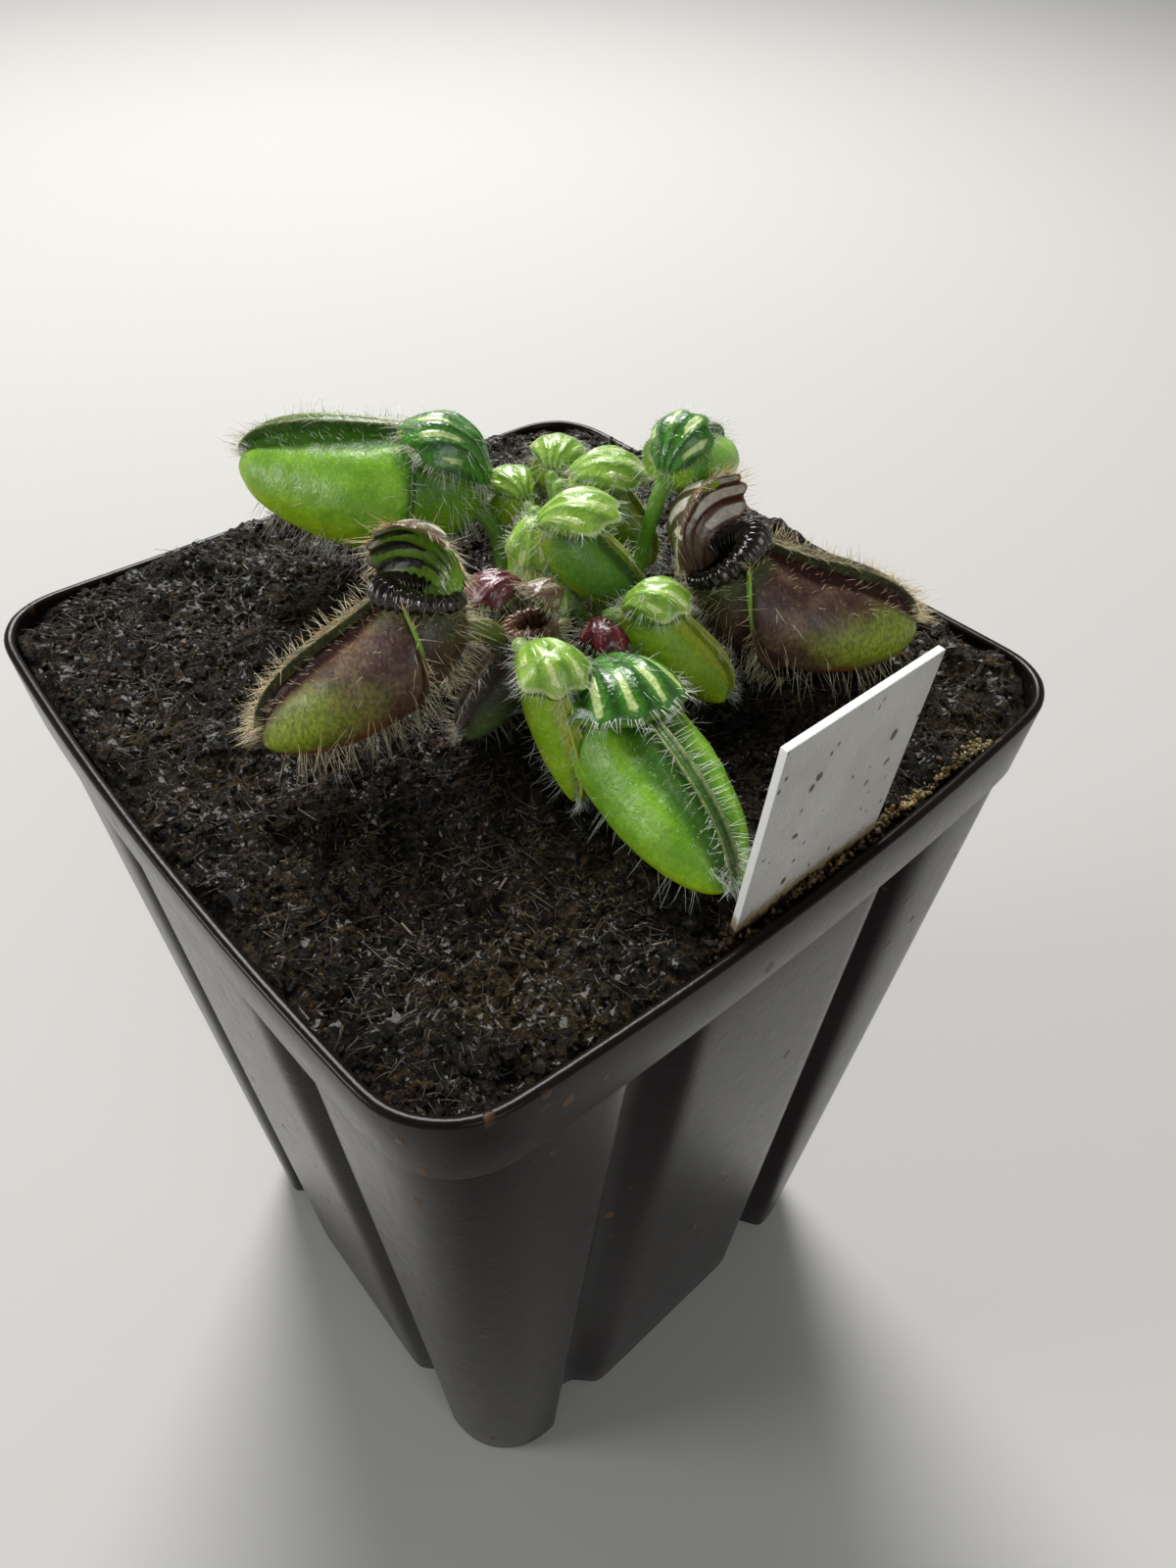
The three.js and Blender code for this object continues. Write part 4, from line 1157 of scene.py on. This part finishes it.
def lid_frame(leaf):
    turn = math.radians(leaf["mouth"] + leaf["lid"])
    hinge = np.array((0, 0, (0.01 if leaf["shut"] else RIM_TUBE) * leaf["length"]))
    swing = np.array(Matrix.Rotation(-turn, 3, 'Y') @ Matrix.Rotation(math.radians(leaf["roll"]), 3, 'X'))
    return swing, hinge


def lid_points(leaf, angle, share, top):
    """Points of the lid in the leaf's frame, with the fan and reach of each."""
    size = leaf["length"]
    broad = leaf["hood"] * size
    thick = 0.55 + 0.006 * size
    fan_step = math.radians((12.5 if leaf["shut"] else 10.5) if leaf["big"] else 19)

    def flat(scale):
        x = broad * LID_LENGTH * (0.44 + 0.5 * scale * np.cos(angle))
        y = broad * LID_HALF * scale * np.sin(angle) * (1 + 0.12 * np.cos(angle))
        return x, y

    behind = 0.13 * broad
    x, y = flat(share)
    fan = np.arctan2(y, x + behind) / fan_step
    wave = 0.035 if leaf["big"] else 0.07
    scallop = 1 - (wave * np.cos(TAU * fan) - 0.01) * share ** 4
    x, y = flat(share * scallop)
    rim_x = broad * LID_LENGTH * 0.94
    along = np.clip((x + behind * 0.3) / (rim_x + behind * 0.3), 0, 1)
    reach = np.where(np.cos(angle) > -0.3, share * np.clip(along * 2.4, 0, 1), share * along * 1.2)
    ribs = (0.011 if leaf["big"] else 0.020) * size * (0.5 + 0.5 * np.cos(TAU * fan))
    height = size * (SHUT_DOME if leaf["shut"] else LID_DOME)
    dome = height * (1 - share ** 2.6) + ribs * np.clip(share * 2.4, 0, 1) * np.clip(along * 3, 0, 1)
    under = (0 if leaf["shut"] else dome) - thick
    edge = np.clip((share - 0.88) / 0.12, 0, 1) ** 2
    z = np.where(top, dome - 0.2 * edge, under + 0.2 * edge)
    swing, hinge = lid_frame(leaf)
    return np.column_stack([x, y, z]) @ swing.T + hinge, fan, np.clip(reach, 0, 1)


def make_lid(leaf, outside, inside):
    around, rows = (176, 72) if leaf["big"] else (96, 44)

    def parts(u, v):
        share = 1 - np.abs(2 * v - 1)
        return lid_points(leaf, u * TAU, share ** 0.8, v <= 0.5)

    def place(u, v):
        return out_to(leaf, parts(u, v)[0])

    def marks(u, v):
        _, fan, reach = parts(u, v)
        return {"fan": fan, "reach": reach}

    return sheet(leaf["name"] + " lid", around, rows, place, [outside, inside], marks, lambda v: v > 0.5)


RUN_STEPS = 10      # steps between two of a stalk's own points


def stalk_line(leaf):
    """Catmull-Rom through the stalk's own few points."""
    distance, bearing, radius = leaf["stalk"]
    bearing = math.radians(bearing)
    foot = np.array(CROWN) + distance * np.array((math.cos(bearing), math.sin(bearing)))
    ground = float(soil_height(foot[0], foot[1]))
    size = leaf["length"]
    inside, behind = out_to(leaf, np.array([(0.12 * size, 0, -0.12 * size), (-0.03 * size, 0, -0.14 * size)]))
    bend = np.array((*(foot * 0.6 + behind[:2] * 0.4), ground + (behind[2] - ground) * 0.4))
    knots = np.array([inside, behind, bend, (*foot, ground - 0.5), (*foot, ground - STALK_DEPTH)])
    ends = np.vstack([2 * knots[0] - knots[1], knots, 2 * knots[-1] - knots[-2]])
    chord = np.concatenate([[0], np.cumsum(np.linalg.norm(np.diff(ends, axis=0), axis=1) ** 0.5)])
    line = []
    for k in range(1, len(ends) - 2):
        a, c = ends[k - 1:k + 3], chord[k - 1:k + 3]
        for at in np.linspace(chord[k], chord[k + 1], RUN_STEPS, endpoint=False):
            one = [(a[j] * (c[j + 1] - at) + a[j + 1] * (at - c[j])) / (c[j + 1] - c[j]) for j in range(3)]
            two = [(one[j] * (c[j + 2] - at) + one[j + 1] * (at - c[j])) / (c[j + 2] - c[j])
                   for j in range(2)]
            line.append((two[0] * (c[2] - at) + two[1] * (at - c[1])) / (c[2] - c[1]))
    line.append(knots[-1])
    return np.array(line), radius


def make_stalk(leaf, finish):
    line, radius = stalk_line(leaf)
    steps = len(line) - 1
    ahead = unit(np.gradient(line, axis=0))
    side = unit(np.cross(ahead, np.tile((0.3, 0.2, 0.93), (len(line), 1))))
    other = np.cross(ahead, side)

    def place(u, v):
        _, i, pole = ring_spots(u, v, 1, steps)
        angle = u * TAU
        wide = radius * (1 + 0.35 * np.exp(-i / 6.0) + 0.12 * np.exp(-(steps - i) / 8.0))
        groove = 1 - 0.18 * np.exp(-((np.mod(angle, TAU) - np.pi / 2) / 0.5) ** 2)
        out = side[i] * np.cos(angle)[:, None] + other[i] * np.sin(angle)[:, None]
        points = line[i] + out * (wide * groove)[:, None]
        points[pole] = line[i][pole]
        return points

    def marks(u, v):
        return {"along": 0.15, "around": 0.5 - 0.9 * v, "lobe": 1.0}

    return sheet(leaf["name"] + " stalk", 14, steps + 2, place, [finish], marks)


def leaf_hairs(leaf, finish):
    """Rows along the strap, the wings, the lid and the belly, and a sparse nap."""
    many = leaf["length"] / 28
    furry = leaf["dress"].startswith(("dark", "dusky"))
    roots, ways, lengths = [], [], []

    def add(points, normals, low, high, lean=0.28):
        roots.append(out_to(leaf, points))
        ways.append(unit(normals + lean * rng.normal(size=normals.shape)) @ leaf["turn"].T)
        lengths.append(rng.uniform(low, high, len(points)))

    def nap(t, angle, sweep, low, high, lean=0.28):
        """Hairs on the skin itself, swept the way that sweep says."""
        add(skin(leaf, t, angle), unit(skin_normal(leaf, t, angle) + np.array(sweep)),
            low * reach, high * reach, lean)

    front = np.pi / 2
    reach = (0.45 + 0.55 * many) * (1.3 if furry else 1.05)
    half, rise = strap_size(leaf)
    for side in (-1, 1):
        count = int((125 if furry else 80) * many)
        t = rng.uniform(0.05, 0.97, count)
        angle = np.full(count, front)
        normal = skin_normal(leaf, t, angle)
        spread = half * (1 + (0 if leaf["shut"] else STRAP_FLARE) * (0.5 - t))
        base = skin(leaf, t, angle) + normal * rise * 0.85 + np.array((0, 1, 0)) * (side * spread)[:, None]
        add(base, unit(0.55 * normal + np.array((0.2, side, 0))), 1.2 * reach, 2.6 * reach, 0.2)
    count = int(110 * many)
    t = rng.uniform(0.84, 0.988, count)
    nap(t, front + rng.uniform(-0.8, 0.8, count), (0.9, 0, 0), 1.2, 2.2)
    for side in (-1, 1):
        count = int((80 if leaf["big"] else 30) * many)
        share = rng.uniform(0.02, 1.2, count)
        t, angle = wing_path(side)(share)
        normal = skin_normal(leaf, t, angle)
        add(skin(leaf, t, angle) + normal * 1.2 * many * leaf["big"], normal + np.array((-0.4, 0, 0)),
            reach, 2.3 * reach, 0.35)
    count = int(330 * many)
    t = rng.uniform(0.03, 0.85, count) ** 1.1
    nap(t, -front + rng.normal(0, 0.62, count), (0.2, 0, -0.35), 1.9, 3.4, 0.22)
    count = int((230 if furry else 180) * many)
    t = rng.uniform(0.02, 0.95, count)
    aside = rng.choice((-1, 1), count) * np.abs(rng.normal(0.3, 0.55 if furry else 0.35, count))
    nap(t, front + aside, (0.5, 0, 0), 0.4, 0.9)
    count = int(140 * many)
    t = rng.uniform(0.01, 0.12, count)
    nap(t, rng.uniform(0, TAU, count), (-0.3, 0, 0), 0.8, 1.8)

    count = int(210 * many)
    angle = rng.uniform(0, TAU, count)
    share = np.where(rng.uniform(size=count) < 0.8, 0.97, rng.uniform(0, 1, count) ** 0.5)
    top = np.ones(count, bool)
    points, _, _ = lid_points(leaf, angle, share, top)
    ahead, _, _ = lid_points(leaf, angle, np.maximum(share - 0.05, 0.01), top)
    around, _, _ = lid_points(leaf, angle + 0.03, share, top)
    normal = unit(np.cross(points - ahead, around - points))
    add(points, unit(0.6 * normal + unit(points - ahead)), 1.1 * reach, 2.3 * reach, 0.22)

    line, radius = stalk_line(leaf)
    count = int(40 + 90 * many)
    spot = rng.integers(6, 28, count)
    away = unit(np.cross(unit(np.gradient(line, axis=0))[spot], rng.normal(size=(count, 3))))
    roots.append(line[spot] + away * radius)
    ways.append(away)
    lengths.append(rng.uniform(0.8, 1.8, count))

    roots, ways, lengths = np.concatenate(roots), np.concatenate(ways), np.concatenate(lengths)
    tips = roots + ways * lengths[:, None]
    above = np.minimum(roots[:, 2], tips[:, 2] + 0.6) > soil_height(roots[:, 0], roots[:, 1])
    roots, ways, lengths = roots[above], ways[above], lengths[above]
    bend = rng.normal(size=roots.shape) * 0.08 * lengths[:, None]
    bend[:, 2] -= 0.06 * lengths
    thick = rng.uniform(0.028, 0.044, len(roots)) * (0.6 + 0.4 * many) * (1 if furry else 0.85)
    return strands(leaf["name"] + "_hairs", roots - ways * 0.1, ways, lengths, thick, bend, finish, 0.25)


def make_leaf(leaf, finishes):
    prepare(leaf)
    parts = [make_body(leaf, finishes["skin"], finishes["inside"]),
             make_strap(leaf, finishes["strap"]),
             make_lid(leaf, finishes["lid"], finishes["lid_inside"]),
             make_stalk(leaf, finishes["stalk"])]
    if not leaf["shut"]:
        parts.append(make_collar(leaf, finishes["collar"]))
    if leaf["big"]:
        parts += [make_wing(leaf, side, finishes["wing"]) for side in (-1, 1)]
    settle(join(parts, leaf["name"] + "_leaf"), finishes["slot"], leaf["name"])
    settle(leaf_hairs(leaf, finishes["hair"]), finishes["slot"])


def make_rhizome(finish):
    x, y = CROWN
    ground = float(soil_height(x, y))

    def place(u, v):
        angle, height = u * TAU, -14 + 15 * v
        radius = RHIZOME_RADIUS * np.sqrt(np.clip(np.sin(np.pi * np.clip(v, 0, 1)), 0, 1)) * (0.75 + 0.25 * v)
        radius = radius * (1 + 0.06 * np.sin(5 * angle) * np.sin(9 * v))
        return np.column_stack([x + radius * np.cos(angle), y + radius * np.sin(angle), ground + height])

    settle(sheet("rhizome_stub", 32, 24, place, [finish]), "rhizome", "rhizome")


def dresses():
    """By name, the finishes of a leaf's parts and the slot name that goes with them."""
    white_hair = hair_finish("white hair", (0.88, 0.88, 0.74))
    collar = plain_skin("dark glossy collar", (0.004, 0.003, 0.002), (0.018, 0.009, 0.005), 0.10, coat=0.4)
    green_stalk = leaf_skin("green stalk", (0.11, 0.27, 0.02), (0.17, 0.36, 0.035), (0.12, 0.24, 0.02),
                            (0.12, 0.30, 0.03))
    young_stalk = leaf_skin("young stalk", (0.17, 0.33, 0.04), (0.26, 0.42, 0.07), (0.15, 0.25, 0.03),
                            (0.2, 0.36, 0.05))
    dark_stalk = leaf_skin("dark stalk", (0.09, 0.10, 0.025), (0.14, 0.17, 0.04), (0.10, 0.05, 0.03),
                           (0.12, 0.12, 0.03))
    green_inside = plain_skin("green inside", (0.12, 0.22, 0.025), (0.2, 0.34, 0.04), 0.35)
    pale_pane = (0.74, 0.68, 0.58)
    usual = {"inside": green_inside, "lid_inside": green_inside, "wing": green_inside, "collar": collar,
             "stalk": young_stalk, "hair": white_hair}
    green = {
        **usual, "slot": "leaf_green", "stalk": green_stalk,
        "skin": leaf_skin("green skin", (0.15, 0.36, 0.018), (0.24, 0.48, 0.035), (0.42, 0.62, 0.006),
                          (0.035, 0.13, 0.006), shine=0.34, neck=(0.07, 0.22, 0.012)),
        "strap": leaf_skin("green strap", (0.055, 0.13, 0.025), (0.10, 0.19, 0.045), (0.035, 0.12, 0.010),
                           (0.22, 0.27, 0.10), shine=0.25, grain=0.5),
        "wing": leaf_skin("green wing", (0.03, 0.10, 0.008), (0.05, 0.15, 0.012), (0.04, 0.14, 0.010),
                          (0.06, 0.12, 0.02)),
        "lid": lid_skin("green lid", (0.016, 0.085, 0.005), (0.055, 0.22, 0.014), (0.55, 0.70, 0.26),
                        (0.04, 0.16, 0.012), shine=0.2),
    }
    dark = {
        **usual, "slot": "leaf_maroon", "stalk": dark_stalk, "wing": fading_wing(),
        "skin": leaf_skin("maroon skin", (0.060, 0.024, 0.020), (0.17, 0.105, 0.062), (0.045, 0.008, 0.006),
                          (0.040, 0.010, 0.008), patch=(0.27, 0.36, 0.022), shine=0.40,
                          neck=(0.055, 0.105, 0.015), stain=(0.24, 0.075, 0.008), grain=0.5),
        "inside": plain_skin("dark throat", (0.01, 0.006, 0.004), (0.05, 0.07, 0.012), 0.25),
        "strap": leaf_skin("maroon strap", (0.050, 0.048, 0.022), (0.09, 0.11, 0.035), (0.04, 0.02, 0.012),
                           (0.15, 0.14, 0.07), shine=0.5, grain=0.6),
        "lid": lid_skin("maroon lid", (0.060, 0.030, 0.012), (0.10, 0.12, 0.03), pale_pane,
                        (0.12, 0.06, 0.03), 0.30, 0.40, 0.96, 0.25),
        "hair": hair_finish("tan hair", (0.78, 0.62, 0.38)),
    }
    dark_left = {**dark, "lid_inside": lid_skin(
        "lime lid inside", (0.022, 0.010, 0.018), (0.14, 0.26, 0.03), pale_pane, (0.16, 0.09, 0.04),
        0.30, 0.74, 0.97, 0.25, throat=(0.22, 0.42, 0.025))}
    dark_right = {**dark, "lid_inside": lid_skin(
        "pale lid inside", (0.085, 0.016, 0.012), (0.16, 0.12, 0.06), pale_pane, (0.20, 0.11, 0.05),
        0.34, 0.26, 0.97, 0.25)}
    young = {
        **usual, "slot": "leaf_young",
        "skin": leaf_skin("young skin", (0.21, 0.41, 0.010), (0.31, 0.50, 0.025), (0.50, 0.58, 0.006),
                          (0.38, 0.45, 0.02), shine=0.36, neck=(0.13, 0.26, 0.012)),
        "strap": leaf_skin("young strap", (0.26, 0.36, 0.03), (0.36, 0.46, 0.06), (0.2, 0.34, 0.03),
                           (0.46, 0.50, 0.08)),
        "lid": lid_skin("young lid", (0.16, 0.33, 0.02), (0.28, 0.48, 0.05), (0.56, 0.68, 0.26),
                        (0.50, 0.62, 0.22), 0.16, 0.3, 0.9, 0.28),
    }
    middle = {**young, "skin": leaf_skin(
        "mid-green skin", (0.11, 0.28, 0.03), (0.16, 0.36, 0.05), (0.42, 0.52, 0.01), (0.05, 0.12, 0.02),
        shine=0.36, neck=(0.07, 0.18, 0.02))}
    red = {
        **usual, "slot": "leaf_red",
        "skin": leaf_skin("red-green skin", (0.07, 0.025, 0.018), (0.12, 0.08, 0.02), (0.12, 0.12, 0.02),
                          (0.12, 0.02, 0.015), shine=0.35),
        "strap": leaf_skin("red strap", (0.10, 0.02, 0.015), (0.16, 0.04, 0.025), (0.08, 0.02, 0.015),
                           (0.2, 0.08, 0.05)),
        "lid": lid_skin("red lid", (0.075, 0.006, 0.010), (0.16, 0.014, 0.022), (0.30, 0.10, 0.09),
                        (0.09, 0.02, 0.014), 0.12, 0.3, 0.85, 0.15),
    }
    dusky = {
        **usual, "slot": "leaf_dusky", "stalk": dark_stalk,
        "skin": leaf_skin("dusky skin", (0.050, 0.055, 0.030), (0.085, 0.090, 0.050), (0.10, 0.13, 0.03),
                          (0.075, 0.050, 0.040), patch=(0.09, 0.14, 0.035), shine=0.45, grain=0.4),
        "inside": plain_skin("brown throat", (0.06, 0.02, 0.012), (0.12, 0.05, 0.03), 0.4),
        "strap": leaf_skin("dusky strap", (0.08, 0.060, 0.045), (0.12, 0.095, 0.07), (0.07, 0.05, 0.04),
                           (0.15, 0.115, 0.085), grain=0.5),
        "lid": lid_skin("wine lid", (0.085, 0.012, 0.018), (0.15, 0.03, 0.038), (0.28, 0.16, 0.17),
                        (0.10, 0.03, 0.03), 0.14, 0.3, 0.85, 0.25),
        "collar": plain_skin("brown collar", (0.07, 0.025, 0.012), (0.16, 0.07, 0.03), 0.3),
        "hair": hair_finish("grey hair", (0.50, 0.44, 0.34)),
    }
    dusky_front = {**dusky, "lid": lid_skin(
        "brown lid", (0.12, 0.035, 0.02), (0.14, 0.12, 0.04), (0.42, 0.36, 0.24), (0.16, 0.05, 0.03),
        0.16, 0.3, 0.9, 0.3)}
    return {"green": green, "tall_bud": {**green, "slot": "leaf_young"}, "dark_left": dark_left,
            "dark_right": dark_right, "young": young, "middle": middle, "red": red, "dusky": dusky,
            "dusky_front": dusky_front}


# ------------------------------------------------------------ making it

aim_camera()

clear()
bpy.ops.mesh.primitive_plane_add(size=6, location=(0, 0, -0.0005))
floor = bpy.context.object
floor.name = "floor"
floor.data.materials.append(pale_floor())

area_light("window", (-0.85, 0.45, 1.25), 0.7, 27, (1.0, 0.99, 0.97))
area_light("fill", (0.8, -0.1, 0.65), 0.5, 2.0, (0.97, 0.98, 1.0))
area_light("front", (-0.5, -0.8, 0.5), 0.4, 4.2)
area_light("far", (-1.9, 1.2, 1.6), 1.8, 30, target=(-1.9, 1.2, 0))
studio_walls()
bpy.context.scene.view_settings.view_transform = 'Standard'

make_pot(pot_plastic())
make_soil(peat("wet peat"))
make_litter(peat("peat crumbs", 1.25),
            fibre_finish("peat fibre", (0.010, 0.007, 0.004), (0.085, 0.060, 0.034)),
            fibre_finish("straw chip", (0.10, 0.08, 0.06), (0.24, 0.20, 0.15)))
make_crust(fibre_finish("algae crust", (0.05, 0.026, 0.010), (0.25, 0.18, 0.05)))
make_label(label_plastic())
make_rhizome(plain_skin("rootstock", (0.05, 0.03, 0.018), (0.13, 0.085, 0.05), 0.7, 700, 0.0003))
DRESSES = dresses()
for leaf in LEAVES:
    make_leaf(leaf, DRESSES[leaf["dress"]])
